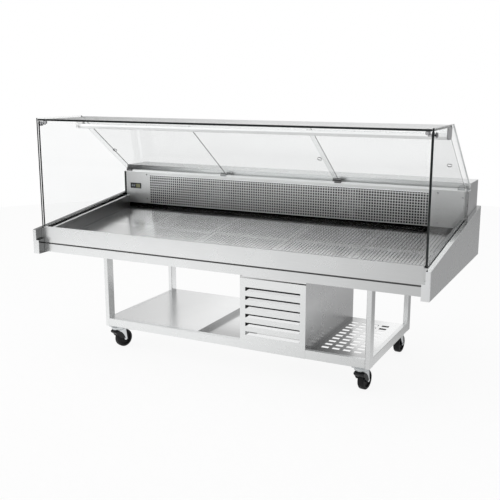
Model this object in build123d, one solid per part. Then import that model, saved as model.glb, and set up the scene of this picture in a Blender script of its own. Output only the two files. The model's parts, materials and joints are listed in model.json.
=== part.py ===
from build123d import *
import os
from math import atan, atan2, cos, degrees, radians, sin

# Refrigerated fish counter on casters. Millimetres, X along the length, Y from front to back, Z up.
# Stations along the depth are distances behind the front face of the end panels.

# Overall size
LENGTH = 2200.0
DEPTH = 1077.0
GLASS_TOP = 1293.0
SHEET = 2.0
RUNNING_GAP = 0.3

# End panels: an outer lip beside a lower seat that the side glass stands on
PANEL_BOTTOM = 557.0
PANEL_FRONT_TOP = 690.0
PANEL_REAR_TOP = 826.0
PANEL_WIDTH = 40.0
LIP_WIDTH = 23.0
SEAT_DROP = 58.0
PANEL_ROUND = 3.0

# Tub and evaporator box
TUB_BOTTOM = 566.0
TUB_WALL = 20.0
TUB_FRONT_WALL = 29.0
TUB_REAR_WALL = 37.0
RIM_DROP = 15.0
BOX_DEPTH = 241.0
BOX_SEAT = 772.0
BOX_GAP = 1.0
LEDGE_HEIGHT = 931.0
LEDGE_MARGIN = 3.5
STEP_HEIGHT = 37.0
ROOF_THICKNESS = 19.0
DRAIN_INSET = 140.0
DRAIN_STATION = 150.0
DRAIN_BORE = 30.0
DRAIN_WALL = 4.0
DRAIN_LENGTH = 25.0

# Fascia: two strips with a shadow groove between them
FASCIA_STATION = 45.0
FASCIA_TOP = 703.0
FASCIA_BOTTOM = 564.0
GROOVE_BOTTOM = 608.0
GROOVE_HEIGHT = 8.0
GROOVE_DEPTH = 12.0
FASCIA_FOLD = 7.0
CHANNEL_WIDTH = 12.0
CHANNEL_DEPTH = 15.0
FASCIA_END_GAP = 2.0

# Glass
GLASS = 8.0
TOP_GLASS = 10.0
TOP_GLASS_DROP = 4.0
TOP_GLASS_REAR_GAP = 1.0
TOP_GLASS_GAP = 1.5
GLASS_STATION = 50.0
FRONT_GLASS_GAP = 18.0
FRONT_GLASS_HEADROOM = 2.0
GLASS_REAR_MARGIN = 37.0
GLASS_FOOT = 33.0
GLASS_FOOT_HEIGHT = 39.0

# Corner clamps of the top glass
CLAMP_STATION = 80.0
CLAMP_DISC = 34.0
CLAMP_DISC_THICKNESS = 12.0
CLAMP_BODY = 26.0
CLAMP_SEAT = 26.0
CLAMP_BOLT = 10.0
BOLT_CLEARANCE = 0.2

# Sliding doors: clear panels on two inclined planes
DOOR_THICKNESS = 5.0
DOOR_COUNT = 3
DOOR_OVERLAP = 13.5
DOOR_END_GAP = 9.5
DOOR_TOP_GAP = 0.5
DOOR_FOOT_RISE = 13.0
DOOR_FOOT_INSET = 5.8
TRACK_SPACING = 18.0
GUIDE_FORWARD = 410.0
GUIDE_DROP = 48.0
GUIDE_SLOT = 6.4
GUIDE_ARM = 3.0
GUIDE_REACH = 18.0
GUIDE_TOP_GAP = 8.0
FINGER_HOLE = 25.0
FINGER_HOLE_INSET = 45.0
FINGER_HOLE_HEIGHT = 1079.0
TRACK_BASE = 3.0
TRACK_NOSE = 3.0
RIB_WIDTH = 3.0
RIB_HEIGHT = 8.0
RIB_CLEARANCE = 0.4
SHOE_LENGTH = 36.0
SHOE_WIDTH = 20.0
SHOE_HEIGHT = 20.0

# Lamp bar
LAMP_DROP = 21.0
LAMP_WIDTH = 36.0
DIFFUSER_WIDTH = 20.0
DIFFUSER_DROP = 2.0
BRACKET_THICKNESS = 6.0
BRACKET_GAP = 1.0
BRACKET_FORWARD = 68.0
BRACKET_BACK = 9.0
BRACKET_ROUND = 20.0

# Evaporator cover and what is behind it
COVER_BOTTOM = 735.0
COVER_FLANGE = 20.0
COVER_FLANGE_GAP = 2.0
PLAIN_FIELD_LEFT = 179.0
PLAIN_FIELD_RIGHT = 185.0
PERFORATION_PITCH = 60.0
PERFORATION_HOLE = 40.0
COIL_LENGTH = 1640.0
COIL_DEPTH = 95.0
COIL_OVERHANG = 11.0
COIL_PLATE = 3.0
COIL_REAR_GAP = 5.0
FIN_GROOVES = 16
FIN_GROOVE_WIDTH = 10.0
FIN_GROOVE_DEPTH = 8.0
EVAPORATOR_FAN_X = 420.0
EVAPORATOR_FAN_MARGIN = 17.0
EVAPORATOR_FAN_HUB = 44.0
EVAPORATOR_FAN_SETBACK = 20.0
EVAPORATOR_MOTOR_DIAMETER = 70.0
MOTOR_STRAP_WIDTH = 40.0
MOTOR_STRAP_INSET = 6.0

# Thermostat
THERMOSTAT_INSET = 51.0
THERMOSTAT_RISE = 10.0
BEZEL_WIDTH = 76.0
BEZEL_HEIGHT = 34.0
BEZEL_THICKNESS = 4.0
CASE_WIDTH = 71.0
CASE_HEIGHT = 29.0
CASE_DEPTH = 50.0
CASE_CLEARANCE = 0.2
KEY_COUNT = 2
KEY_SIZE = 9.0
KEY_PITCH = 14.0
KEY_INSET = 14.0
KEY_LENGTH = 3.0
KEY_PROUD = 1.0
KEY_CLEARANCE = 0.2
KEY_POCKET = 3.2
DISPLAY_WIDTH = 32.0
DISPLAY_HEIGHT = 22.0
DISPLAY_RECESS = 1.0

# Deck of loose plates, parallel to the rim of the end panels
DECK_COUNT = 5
DECK_FRONT_GAP = 8.0
DECK_REAR_REACH = 38.0
DECK_DROP = 85.0
DECK_FLANGE = 16.0
DECK_GAP = 2.0
DECK_SIDE_GAP = 4.0
MIDDLE_PLATE_WIDTH = 462.0
PLATE_MARGIN = 25.0
PLATE_END_MARGIN = 22.0
PLATE_BAND = 40.0
SLOT_PITCH = 36.0
SLOT_WIDTH = 8.0

# Base frame
BASE_LENGTH = 1560.0
BASE_FRONT = 202.0
BASE_SETBACK = 160.0
LEG_WIDTH = 25.0
LEG_DEPTH = 54.0
RAIL_HEIGHT = 46.0
BEARER_HEIGHT = 40.0
TUBE_WALL = 2.0
TUBE_CHAMFER = 2.0
FLOOR_HEIGHT = 150.0
TRAY_RIGHT = -190.0
FLOOR_SLOT_COLUMNS = 4
FLOOR_SLOT_LENGTH = 40.0
FLOOR_SLOT_WIDTH = 26.0
FLOOR_SLOT_PITCH_X = 58.5
FLOOR_SLOT_PITCH_Y = 52.0
FLOOR_SLOT_SIDE = 47.0
FLOOR_SLOT_FRONT = 156.0
FLOOR_SLOT_REAR = 80.0

# Unit compartment and louvred panel
UNIT_LEFT = 79.0
UNIT_WIDTH = 365.0
UNIT_SHEET = 1.5
GRILLE_TOP = 513.0
LOUVRE_COUNT = 6
LOUVRE_LENGTH = 305.0
LOUVRE_HEIGHT = 20.0
LOUVRE_PITCH = 47.0
LOUVRE_TOP = 460.0
LOUVRE_REACH = 48.0
LOUVRE_RISE = 2.0
LOUVRE_END_GAP = 5.0
GRILLE_FLANGE = 40.0

# Condensing unit
CONDENSER_SETBACK = 137.0
CONDENSER_LENGTH = 320.0
CONDENSER_DEPTH = 44.0
CONDENSER_HEIGHT = 180.0
CONDENSER_GROOVE = 6.0
CONDENSER_BORDER = 4.0
SHROUD_OPENING = 150.0
SHROUD_RING_DEPTH = 20.0
CONDENSER_FAN_DIAMETER = 140.0
CONDENSER_FAN_HUB = 50.0
CONDENSER_MOTOR_DIAMETER = 70.0
CONDENSER_MOTOR_LENGTH = 55.0
MOTOR_ARM_REACH = 84.0
MOTOR_ARM_WIDTH = 14.0
MOTOR_ARM_THICKNESS = 6.0
MOTOR_POST = 10.0
FAN_MOTOR_GAP = 4.0
FAN_BLADES = 5
BLADE_PITCH = 28.0
BLADE_THICKNESS = 2.0
BLADE_CHORD = 0.36
BLADE_ROOT = 2.0
FAN_DEPTH = 22.0
FAN_SHAFT = 8.0
SHAFT_CLEARANCE = 0.05
COMPRESSOR_X = 190.0
COMPRESSOR_SETBACK = 220.0
COMPRESSOR_RADIUS = 78.0
COMPRESSOR_HEIGHT = 150.0
COMPRESSOR_SHOULDER = 30.0
FOOT_PLATE = 4.0
FOOT_MARGIN = 8.0
GROMMET_HEIGHT = 14.0
GROMMET_DIAMETER = 24.0
PIPE_DIAMETER = 12.0
PIPE_BEND = 30.0
PIPE_RUN = 80.0
SUCTION_HEIGHT = 270.0
LIQUID_RISE = 60.0
LIQUID_INSET = 30.0

# Casters
CASTER_HEIGHT = 128.0
CASTER_INSETS = {"front": 30.0, "rear": 77.0, "left": 62.0, "right": 49.0}
CASTER_HEADINGS = {"front_left": 72.0, "front_right": 82.0, "rear_left": 80.0, "rear_right": 85.0}
BRAKED = ("front_left", "front_right")
CASTER_PLATE = 84.0
CASTER_PLATE_THICKNESS = 4.0
CASTER_TRAIL = 35.0
WHEEL_DIAMETER = 100.0
WHEEL_WIDTH = 34.0
WHEEL_SHOULDER = 5.0
AXLE_DIAMETER = 10.0
AXLE_CLEARANCE = 0.05
FORK_WALL = 3.0
FORK_GAP = 40.0
CROWN_HEIGHT = 108.0
CHEEK_REACH = 30.0
CHEEK_BOSS = 10.0
RACEWAY_DIAMETER = 78.0
PEDAL_WIDTH = 36.0
PEDAL_LENGTH = 48.0
PEDAL_THICKNESS = 6.0
PEDAL_RISE = 2.0
PEDAL_BELLY = 8.0
PEDAL_PIN = 6.0
PEDAL_PIN_X = -8.0
PEDAL_PIN_DROP = 14.0
PEDAL_BOSS = 5.0

# Sizes that follow from the ones above
HALF = LENGTH / 2
PANEL_INNER = HALF - PANEL_WIDTH
LIP_INNER = HALF - LIP_WIDTH
TUB_INNER = PANEL_INNER - TUB_WALL
BOX_HALF = LIP_INNER - BOX_GAP
SIDE_GLASS_INNER = PANEL_INNER + (PANEL_WIDTH - LIP_WIDTH - GLASS) / 2
TUB_FRONT = FASCIA_STATION + SHEET
CAVITY_FRONT = TUB_FRONT + TUB_FRONT_WALL
CHAMBER_REAR = DEPTH - TUB_REAR_WALL
CHAMBER_CEILING = LEDGE_HEIGHT - ROOF_THICKNESS
BOX_FRONT = DEPTH - BOX_DEPTH
COVER_FRONT = BOX_FRONT - SHEET
GUIDE_STATION = BOX_FRONT - GUIDE_FORWARD
GUIDE_HEIGHT = GLASS_TOP - GUIDE_DROP
DOOR_FOOT = LEDGE_HEIGHT + DOOR_FOOT_RISE
PITCH = atan2(GUIDE_HEIGHT - DOOR_FOOT, GUIDE_FORWARD + DOOR_FOOT_INSET)
STEP_STATION = BOX_FRONT + DOOR_FOOT_INSET + TRACK_SPACING / sin(PITCH) + SHOE_WIDTH / 2 + LEDGE_MARGIN
WORKTOP_HEIGHT = LEDGE_HEIGHT + STEP_HEIGHT
DRAIN_X = DRAIN_INSET - TUB_INNER
TOP_GLASS_REAR = GUIDE_STATION - TOP_GLASS_REAR_GAP
TOP_GLASS_TOP = GLASS_TOP - TOP_GLASS_DROP
TOP_GLASS_UNDER = TOP_GLASS_TOP - TOP_GLASS
RIM_SLOPE = (PANEL_REAR_TOP - PANEL_FRONT_TOP) / DEPTH
DECK_ANGLE = atan(RIM_SLOPE)
DOOR_HALF_SPAN = SIDE_GLASS_INNER - DOOR_END_GAP
DOOR_WIDTH = (2 * DOOR_HALF_SPAN + (DOOR_COUNT - 1) * DOOR_OVERLAP) / DOOR_COUNT
BAR_HALF = DOOR_HALF_SPAN + BRACKET_GAP
LAMP_BOTTOM = GUIDE_HEIGHT - LAMP_DROP
BRACKET_FRONT = GUIDE_STATION - BRACKET_FORWARD
BRACKET_REAR = GUIDE_STATION + BRACKET_BACK
PERFORATION_LEFT = PLAIN_FIELD_LEFT - PANEL_INNER
PERFORATION_RIGHT = PANEL_INNER - PLAIN_FIELD_RIGHT
THERMOSTAT_X = THERMOSTAT_INSET - TUB_INNER
THERMOSTAT_HEIGHT = (COVER_BOTTOM + LEDGE_HEIGHT) / 2 + THERMOSTAT_RISE
BASE_REAR = DEPTH - BASE_SETBACK
BASE_HALF = BASE_LENGTH / 2
RAIL_INNER = BASE_HALF - LEG_WIDTH
RAIL_TOP = CASTER_HEIGHT + RAIL_HEIGHT
UNIT_RIGHT = UNIT_LEFT + UNIT_WIDTH
UNIT_MIDDLE = (UNIT_LEFT + UNIT_RIGHT) / 2
CLAMP_X = SIDE_GLASS_INNER - CLAMP_BODY
CONDENSER_STATION = BASE_REAR - CONDENSER_SETBACK
COMPRESSOR_STATION = CONDENSER_STATION - COMPRESSOR_SETBACK
CONDENSER_REAR = CONDENSER_STATION + CONDENSER_DEPTH
CONDENSER_TOP = FLOOR_HEIGHT + CONDENSER_HEIGHT
CONDENSER_MIDDLE = FLOOR_HEIGHT + CONDENSER_HEIGHT / 2
SHROUD_REAR = CONDENSER_REAR + SHEET
FAN_NEAR = SHROUD_REAR + SHROUD_RING_DEPTH - FAN_DEPTH / 2
FAN_FAR = FAN_NEAR + FAN_DEPTH
CONDENSER_MOTOR_NEAR = FAN_FAR + FAN_MOTOR_GAP
COIL_REAR = CHAMBER_REAR - COIL_REAR_GAP
COIL_FRONT = COIL_REAR - COIL_DEPTH
COIL_BOTTOM = COVER_BOTTOM - COIL_OVERHANG
COIL_HEIGHT = CHAMBER_CEILING - COIL_BOTTOM
FAN_CENTRE_HEIGHT = CHAMBER_CEILING - COIL_HEIGHT / 2
EVAPORATOR_FAN_DIAMETER = COIL_HEIGHT - 2 * EVAPORATOR_FAN_MARGIN
EVAPORATOR_FAN_NEAR = BOX_FRONT + EVAPORATOR_FAN_SETBACK
EVAPORATOR_FAN_FAR = EVAPORATOR_FAN_NEAR + FAN_DEPTH
EVAPORATOR_MOTOR_NEAR = EVAPORATOR_FAN_FAR + FAN_MOTOR_GAP
EVAPORATOR_MOTOR_FAR = COIL_FRONT - FAN_MOTOR_GAP
DECK_FRONT = CAVITY_FRONT + DECK_FRONT_GAP
DECK_REAR = BOX_FRONT + DECK_REAR_REACH
DECK_LENGTH = (DECK_REAR - DECK_FRONT) / cos(DECK_ANGLE)
DECK_HALF = TUB_INNER - DECK_SIDE_GAP
SIDE_PLATE_WIDTH = (2 * DECK_HALF - MIDDLE_PLATE_WIDTH) / (DECK_COUNT - 1) - DECK_GAP
PEDAL_PIN_HEIGHT = CROWN_HEIGHT - PEDAL_PIN_DROP


def back(station):
    """Y of a plane that lies a given distance behind the front face."""
    return station - DEPTH / 2


def rim_height(station):
    """Height of the end panel's lip at a station."""
    return PANEL_FRONT_TOP + RIM_SLOPE * station


def deck_height(station):
    """Height of the deck's upper face at a station."""
    return rim_height(station) - DECK_DROP


def floor_height(station):
    """Height of the tub's inner floor, just under the flanges of the deck plates."""
    return deck_height(station) - (DECK_FLANGE + RUNNING_GAP) / cos(DECK_ANGLE)


def on_door_slope(along, above):
    """Station and height of a point given down the door slope and square to it."""
    station = GUIDE_STATION + along * cos(PITCH) + above * sin(PITCH)
    height = GUIDE_HEIGHT - along * sin(PITCH) + above * cos(PITCH)
    return station, height


def on_deck(along, above):
    """Station and height of a point given up the deck slope and square to it."""
    station = DECK_FRONT + along * cos(DECK_ANGLE) - above * sin(DECK_ANGLE)
    height = deck_height(DECK_FRONT) + along * sin(DECK_ANGLE) + above * cos(DECK_ANGLE)
    return station, height


def block(x_low, x_high, near, far, low, high):
    """Box between two values of X, two stations and two heights."""
    middle = ((x_low + x_high) / 2, back((near + far) / 2), (low + high) / 2)
    return Pos(*middle) * Box(x_high - x_low, far - near, high - low)


def prism(section, x_low, x_high):
    """Section of (station, height) points pulled along X."""
    outline = Polyline(*[(x_low, back(station), height) for station, height in section], close=True)
    return extrude(make_face(outline), amount=x_high - x_low, dir=(1, 0, 0))


def mirrored(shape):
    """The same piece at the other end of the case."""
    return mirror(shape, about=Plane.YZ)


def rod_x(diameter, x_low, x_high, station, height):
    """Round bar along X."""
    middle = ((x_low + x_high) / 2, back(station), height)
    return Pos(*middle) * Rot(0, 90, 0) * Cylinder(diameter / 2, x_high - x_low)


def rod_y(diameter, near, far, x, height):
    """Round bar along Y."""
    return Pos(x, back((near + far) / 2), height) * Rot(90, 0, 0) * Cylinder(diameter / 2, far - near)


def rod_z(diameter, low, high, x, station):
    """Upright round bar."""
    return Pos(x, back(station), (low + high) / 2) * Cylinder(diameter / 2, high - low)


def tube(size_a, size_b, length):
    """Rectangular tube with chamfered corners, standing on the origin."""
    outside = chamfer(Rectangle(size_a, size_b).vertices(), TUBE_CHAMFER)
    inside = Rectangle(size_a - 2 * TUBE_WALL, size_b - 2 * TUBE_WALL)
    return extrude(outside - inside, amount=length)


def tube_between(x_low, x_high, near, far, low, high, axis):
    """Rectangular tube that fills a box, open along one axis."""
    if axis == "x":
        return Pos(x_low, back((near + far) / 2), (low + high) / 2) * Rot(0, 90, 0) * tube(
            high - low, far - near, x_high - x_low)
    if axis == "y":
        return Pos((x_low + x_high) / 2, back(near), (low + high) / 2) * Rot(-90, 0, 0) * tube(
            x_high - x_low, high - low, far - near)
    return Pos((x_low + x_high) / 2, back((near + far) / 2), low) * tube(
        x_high - x_low, far - near, high - low)


# Base frame

def base_legs():
    """Four upright tubes from the casters to the tub."""
    stations = ((BASE_FRONT, BASE_FRONT + LEG_DEPTH), (BASE_REAR - LEG_DEPTH, BASE_REAR))
    sides = ((-BASE_HALF, -RAIL_INNER), (RAIL_INNER, BASE_HALF))
    legs = []
    for near, far in stations:
        for x_low, x_high in sides:
            legs.append(tube_between(x_low, x_high, near, far, CASTER_HEIGHT, TUB_BOTTOM, "z"))
    return Compound(children=legs)


def base_rails():
    """Lower rails on all four sides, the rear one under the floor, and a bearer at each end of the tub."""
    near = BASE_FRONT + LEG_DEPTH
    far = BASE_REAR - LEG_DEPTH
    rails = [
        tube_between(-RAIL_INNER, RAIL_INNER, BASE_FRONT, BASE_FRONT + LEG_WIDTH,
                     CASTER_HEIGHT, RAIL_TOP, "x"),
        tube_between(-RAIL_INNER, RAIL_INNER, BASE_REAR - LEG_WIDTH, BASE_REAR,
                     CASTER_HEIGHT, FLOOR_HEIGHT - SHEET, "x"),
    ]
    for x_low, x_high in ((-BASE_HALF, -RAIL_INNER), (RAIL_INNER, BASE_HALF)):
        rails.append(tube_between(x_low, x_high, near, far, CASTER_HEIGHT, RAIL_TOP, "y"))
        rails.append(tube_between(x_low, x_high, near, far, TUB_BOTTOM - BEARER_HEIGHT, TUB_BOTTOM, "y"))
    return Compound(children=rails)


def base_floor():
    """Sheet from the front rail over the rear one, with air slots right of the unit compartment."""
    near = BASE_FRONT + LEG_WIDTH
    sheet = block(-RAIL_INNER, RAIL_INNER, near, BASE_REAR, FLOOR_HEIGHT - SHEET, FLOOR_HEIGHT)
    first = BASE_FRONT + FLOOR_SLOT_FRONT
    rows = int((BASE_REAR - FLOOR_SLOT_REAR - first) / FLOOR_SLOT_PITCH_Y) + 1
    slots = []
    for column in range(FLOOR_SLOT_COLUMNS):
        for row in range(rows):
            x = UNIT_RIGHT + FLOOR_SLOT_SIDE + column * FLOOR_SLOT_PITCH_X
            station = first + row * FLOOR_SLOT_PITCH_Y
            slots.append(Pos(x, back(station), FLOOR_HEIGHT) * Box(
                FLOOR_SLOT_LENGTH, FLOOR_SLOT_WIDTH, 3 * SHEET))
    return sheet - slots


def raised_tray():
    """Smooth tray that stands on the floor left of the unit compartment."""
    near = BASE_FRONT + LEG_WIDTH
    far = BASE_REAR
    top = block(-RAIL_INNER, TRAY_RIGHT, near, far, RAIL_TOP - SHEET, RAIL_TOP)
    right = block(TRAY_RIGHT - SHEET, TRAY_RIGHT, near, far, FLOOR_HEIGHT, RAIL_TOP)
    left = block(-RAIL_INNER, SHEET - RAIL_INNER, near, far, FLOOR_HEIGHT, RAIL_TOP)
    return top + right + left


# Unit compartment

def unit_grille():
    """Front panel with louvres whose lips turn inwards, and a flange along its top."""
    near = BASE_FRONT - UNIT_SHEET
    side = UNIT_SHEET + RUNNING_GAP
    panel = block(UNIT_LEFT, UNIT_RIGHT, near, BASE_FRONT, CASTER_HEIGHT, GRILLE_TOP)
    panel += block(UNIT_LEFT + side, UNIT_RIGHT - side, near, BASE_FRONT + GRILLE_FLANGE,
                   GRILLE_TOP - UNIT_SHEET, GRILLE_TOP)
    x_low = UNIT_MIDDLE - LOUVRE_LENGTH / 2
    x_high = UNIT_MIDDLE + LOUVRE_LENGTH / 2
    lips = []
    for index in range(LOUVRE_COUNT):
        high = LOUVRE_TOP - index * LOUVRE_PITCH
        low = high - LOUVRE_HEIGHT
        panel -= block(x_low, x_high, near - UNIT_SHEET, BASE_FRONT + UNIT_SHEET, low, high)
        lips.append(prism([(near, low - UNIT_SHEET), (BASE_FRONT, low - UNIT_SHEET),
                           (BASE_FRONT + LOUVRE_REACH, low + LOUVRE_RISE - UNIT_SHEET),
                           (BASE_FRONT + LOUVRE_REACH, low + LOUVRE_RISE), (near, low)],
                          x_low + LOUVRE_END_GAP, x_high - LOUVRE_END_GAP))
    return panel + lips


def unit_side(x_low):
    """Side sheet of the unit compartment, notched over the front rail."""
    rail = BASE_FRONT + LEG_WIDTH
    section = [(rail, FLOOR_HEIGHT), (rail, RAIL_TOP), (BASE_FRONT, RAIL_TOP), (BASE_FRONT, TUB_BOTTOM),
               (BASE_REAR, TUB_BOTTOM), (BASE_REAR, FLOOR_HEIGHT)]
    return prism(section, x_low, x_low + UNIT_SHEET)


# Condensing unit

def condenser_coil():
    """Finned block between end plates, with the shroud plate and fan ring on its back."""
    x_low = UNIT_MIDDLE - CONDENSER_LENGTH / 2
    x_high = UNIT_MIDDLE + CONDENSER_LENGTH / 2
    coil = block(x_low, x_high, CONDENSER_STATION, CONDENSER_REAR, FLOOR_HEIGHT, CONDENSER_TOP)
    pitch = CONDENSER_LENGTH / FIN_GROOVES
    for index in range(1, FIN_GROOVES):
        x = x_low + index * pitch
        coil -= block(x - CONDENSER_GROOVE / 2, x + CONDENSER_GROOVE / 2, CONDENSER_STATION,
                      CONDENSER_STATION + FIN_GROOVE_DEPTH, FLOOR_HEIGHT + CONDENSER_BORDER,
                      CONDENSER_TOP - CONDENSER_BORDER)
    shroud = block(x_low, x_high, CONDENSER_REAR, SHROUD_REAR, FLOOR_HEIGHT, CONDENSER_TOP)
    ring = rod_y(SHROUD_OPENING + 2 * SHEET, CONDENSER_REAR, SHROUD_REAR + SHROUD_RING_DEPTH,
                 UNIT_MIDDLE, CONDENSER_MIDDLE)
    bore = rod_y(SHROUD_OPENING, CONDENSER_REAR, SHROUD_REAR + SHROUD_RING_DEPTH,
                 UNIT_MIDDLE, CONDENSER_MIDDLE)
    return coil + (shroud + ring - bore)


def condenser_motor():
    """Fan motor on a three-armed bracket that stands on the shroud."""
    motor = rod_y(CONDENSER_MOTOR_DIAMETER, CONDENSER_MOTOR_NEAR,
                  CONDENSER_MOTOR_NEAR + CONDENSER_MOTOR_LENGTH, UNIT_MIDDLE, CONDENSER_MIDDLE)
    motor += rod_y(FAN_SHAFT, FAN_NEAR, CONDENSER_MOTOR_NEAR, UNIT_MIDDLE, CONDENSER_MIDDLE)
    arm_far = CONDENSER_MOTOR_NEAR + 2 * MOTOR_ARM_THICKNESS
    arm_station = arm_far - MOTOR_ARM_THICKNESS / 2
    for angle in (90.0, 210.0, 330.0):
        x = UNIT_MIDDLE + MOTOR_ARM_REACH * cos(radians(angle))
        height = CONDENSER_MIDDLE + MOTOR_ARM_REACH * sin(radians(angle))
        motor += rod_y(MOTOR_POST, SHROUD_REAR, arm_far, x, height)
        motor += Pos(UNIT_MIDDLE, back(arm_station), CONDENSER_MIDDLE) * Rot(0, -angle, 0) * Pos(
            MOTOR_ARM_REACH / 2, 0, 0) * Box(MOTOR_ARM_REACH, MOTOR_ARM_THICKNESS, MOTOR_ARM_WIDTH)
    return motor


def fan(diameter, hub, near, far, x, height):
    """Axial fan with pitched blades on a bored hub, its axis along Y."""
    depth = far - near
    wheel = Cylinder(hub / 2, depth)
    length = (diameter - hub) / 2 + BLADE_ROOT
    rim = Cylinder(diameter / 2, depth)
    for index in range(FAN_BLADES):
        blade = Rot(0, 0, index * 360.0 / FAN_BLADES) * Pos(hub / 2 - BLADE_ROOT + length / 2, 0, 0) * Rot(
            BLADE_PITCH, 0, 0) * Box(length, diameter * BLADE_CHORD, BLADE_THICKNESS)
        wheel += blade & rim
    wheel -= Cylinder(FAN_SHAFT / 2 + SHAFT_CLEARANCE, 2 * depth)
    return Pos(x, back((near + far) / 2), height) * Rot(90, 0, 0) * wheel


def condenser_fan():
    """Fan that draws air through the condenser."""
    return fan(CONDENSER_FAN_DIAMETER, CONDENSER_FAN_HUB, FAN_NEAR, FAN_FAR, UNIT_MIDDLE,
               CONDENSER_MIDDLE)


def compressor():
    """Hermetic shell with a tapered lid on a foot plate and four grommets."""
    low = FLOOR_HEIGHT + GROMMET_HEIGHT + FOOT_PLATE
    shell = rod_z(2 * COMPRESSOR_RADIUS, low, low + COMPRESSOR_HEIGHT, COMPRESSOR_X, COMPRESSOR_STATION)
    shell = chamfer(shell.edges().group_by(Axis.Z)[-1], COMPRESSOR_SHOULDER)
    half = COMPRESSOR_RADIUS + FOOT_MARGIN
    foot = block(COMPRESSOR_X - half, COMPRESSOR_X + half, COMPRESSOR_STATION - half,
                 COMPRESSOR_STATION + half, low - FOOT_PLATE, low)
    grommets = []
    for side in (-1, 1):
        for end in (-1, 1):
            grommets.append(rod_z(GROMMET_DIAMETER, FLOOR_HEIGHT, low - FOOT_PLATE,
                                  COMPRESSOR_X + side * (half - GROMMET_DIAMETER / 2),
                                  COMPRESSOR_STATION + end * (half - GROMMET_DIAMETER / 2)))
    return shell + foot + grommets


def pipe(points):
    """Round pipe through points of (X, station, height) with even bends."""
    path = FilletPolyline(*[(x, back(station), height) for x, station, height in points], radius=PIPE_BEND)
    section = Plane(origin=path @ 0, z_dir=path % 0) * Circle(PIPE_DIAMETER / 2)
    return sweep(section, path=path)


def refrigerant_pipes():
    """Suction line down from the tub to the compressor, and liquid line up from the condenser."""
    shell_side = COMPRESSOR_STATION + COMPRESSOR_RADIUS + RUNNING_GAP
    riser = shell_side + PIPE_RUN
    suction = pipe([(COMPRESSOR_X, shell_side, SUCTION_HEIGHT), (COMPRESSOR_X, riser, SUCTION_HEIGHT),
                    (COMPRESSOR_X, riser, TUB_BOTTOM)])
    x = UNIT_MIDDLE + CONDENSER_LENGTH / 2 - LIQUID_INSET
    start = CONDENSER_STATION + CONDENSER_DEPTH / 2
    level = CONDENSER_TOP + LIQUID_RISE
    liquid = pipe([(x, start, CONDENSER_TOP), (x, start, level), (x, riser, level), (x, riser, TUB_BOTTOM)])
    return Compound(children=[suction, liquid])


# Tub

def insulated_tub():
    """Foamed trough with sloping rims, carrying the evaporator box along its back."""
    tub_top = WORKTOP_HEIGHT - SHEET
    upper = [(BOX_FRONT, LEDGE_HEIGHT), (STEP_STATION, LEDGE_HEIGHT), (STEP_STATION, tub_top),
             (DEPTH, tub_top)]
    trough = prism([(TUB_FRONT, TUB_BOTTOM), (TUB_FRONT, rim_height(TUB_FRONT) - RIM_DROP),
                    (BOX_FRONT, rim_height(BOX_FRONT) - RIM_DROP)] + upper + [(DEPTH, TUB_BOTTOM)],
                   -PANEL_INNER, PANEL_INNER)
    box = prism([(BOX_FRONT, BOX_SEAT)] + upper + [(DEPTH, BOX_SEAT)], -BOX_HALF, BOX_HALF)
    sump_front = DECK_REAR + DECK_FLANGE
    sump_floor = floor_height(sump_front)
    cavity = prism([(CAVITY_FRONT, GLASS_TOP), (CAVITY_FRONT, floor_height(CAVITY_FRONT)),
                    (sump_front, sump_floor), (CHAMBER_REAR, sump_floor), (CHAMBER_REAR, CHAMBER_CEILING),
                    (BOX_FRONT, CHAMBER_CEILING), (BOX_FRONT, GLASS_TOP)], -TUB_INNER, TUB_INNER)
    groove = block(-PANEL_INNER, PANEL_INNER, TUB_FRONT, TUB_FRONT + GROOVE_DEPTH,
                   GROOVE_BOTTOM, GROOVE_BOTTOM + GROOVE_HEIGHT)
    rebate = block(-PANEL_INNER, PANEL_INNER, COVER_FRONT, BOX_FRONT, COVER_BOTTOM, LEDGE_HEIGHT)
    spigot = rod_z(DRAIN_BORE + 2 * DRAIN_WALL, TUB_BOTTOM - DRAIN_LENGTH, TUB_BOTTOM,
                   DRAIN_X, DRAIN_STATION)
    bore = rod_z(DRAIN_BORE, TUB_BOTTOM - DRAIN_LENGTH, deck_height(DRAIN_STATION), DRAIN_X,
                 DRAIN_STATION)
    return trough + box + spigot - cavity - groove - rebate - bore


def panel_section(drop):
    """Side view of the end panel, its sloping top lowered by a drop."""
    return [(0, PANEL_BOTTOM), (0, rim_height(0) - drop), (DEPTH, rim_height(DEPTH) - drop),
            (DEPTH, PANEL_BOTTOM)]


def end_panel():
    """Right end panel: full-length lip outside, lower glass seat inside."""
    lip = prism(panel_section(0), LIP_INNER, HALF)
    seat = prism(panel_section(SEAT_DROP), PANEL_INNER, LIP_INNER)
    panel = lip + seat
    outer_edges = panel.edges().filter_by_position(Axis.X, HALF, HALF)
    return fillet(outer_edges, PANEL_ROUND)


def fascia_upper():
    """Folded strip whose top edge turns back and down to form the front glass channel."""
    top = FASCIA_TOP
    floor = top - CHANNEL_DEPTH
    lip_far = FASCIA_STATION + FASCIA_FOLD
    channel_far = lip_far + CHANNEL_WIDTH
    low = GROOVE_BOTTOM + GROOVE_HEIGHT
    section = [(FASCIA_STATION, low), (FASCIA_STATION, top), (lip_far, top), (lip_far, floor),
               (channel_far, floor), (channel_far, top - SHEET), (channel_far + SHEET, top - SHEET),
               (channel_far + SHEET, floor - SHEET), (lip_far - SHEET, floor - SHEET),
               (lip_far - SHEET, top - SHEET), (TUB_FRONT, top - SHEET), (TUB_FRONT, low)]
    half = PANEL_INNER - FASCIA_END_GAP
    return prism(section, -half, half)


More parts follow.
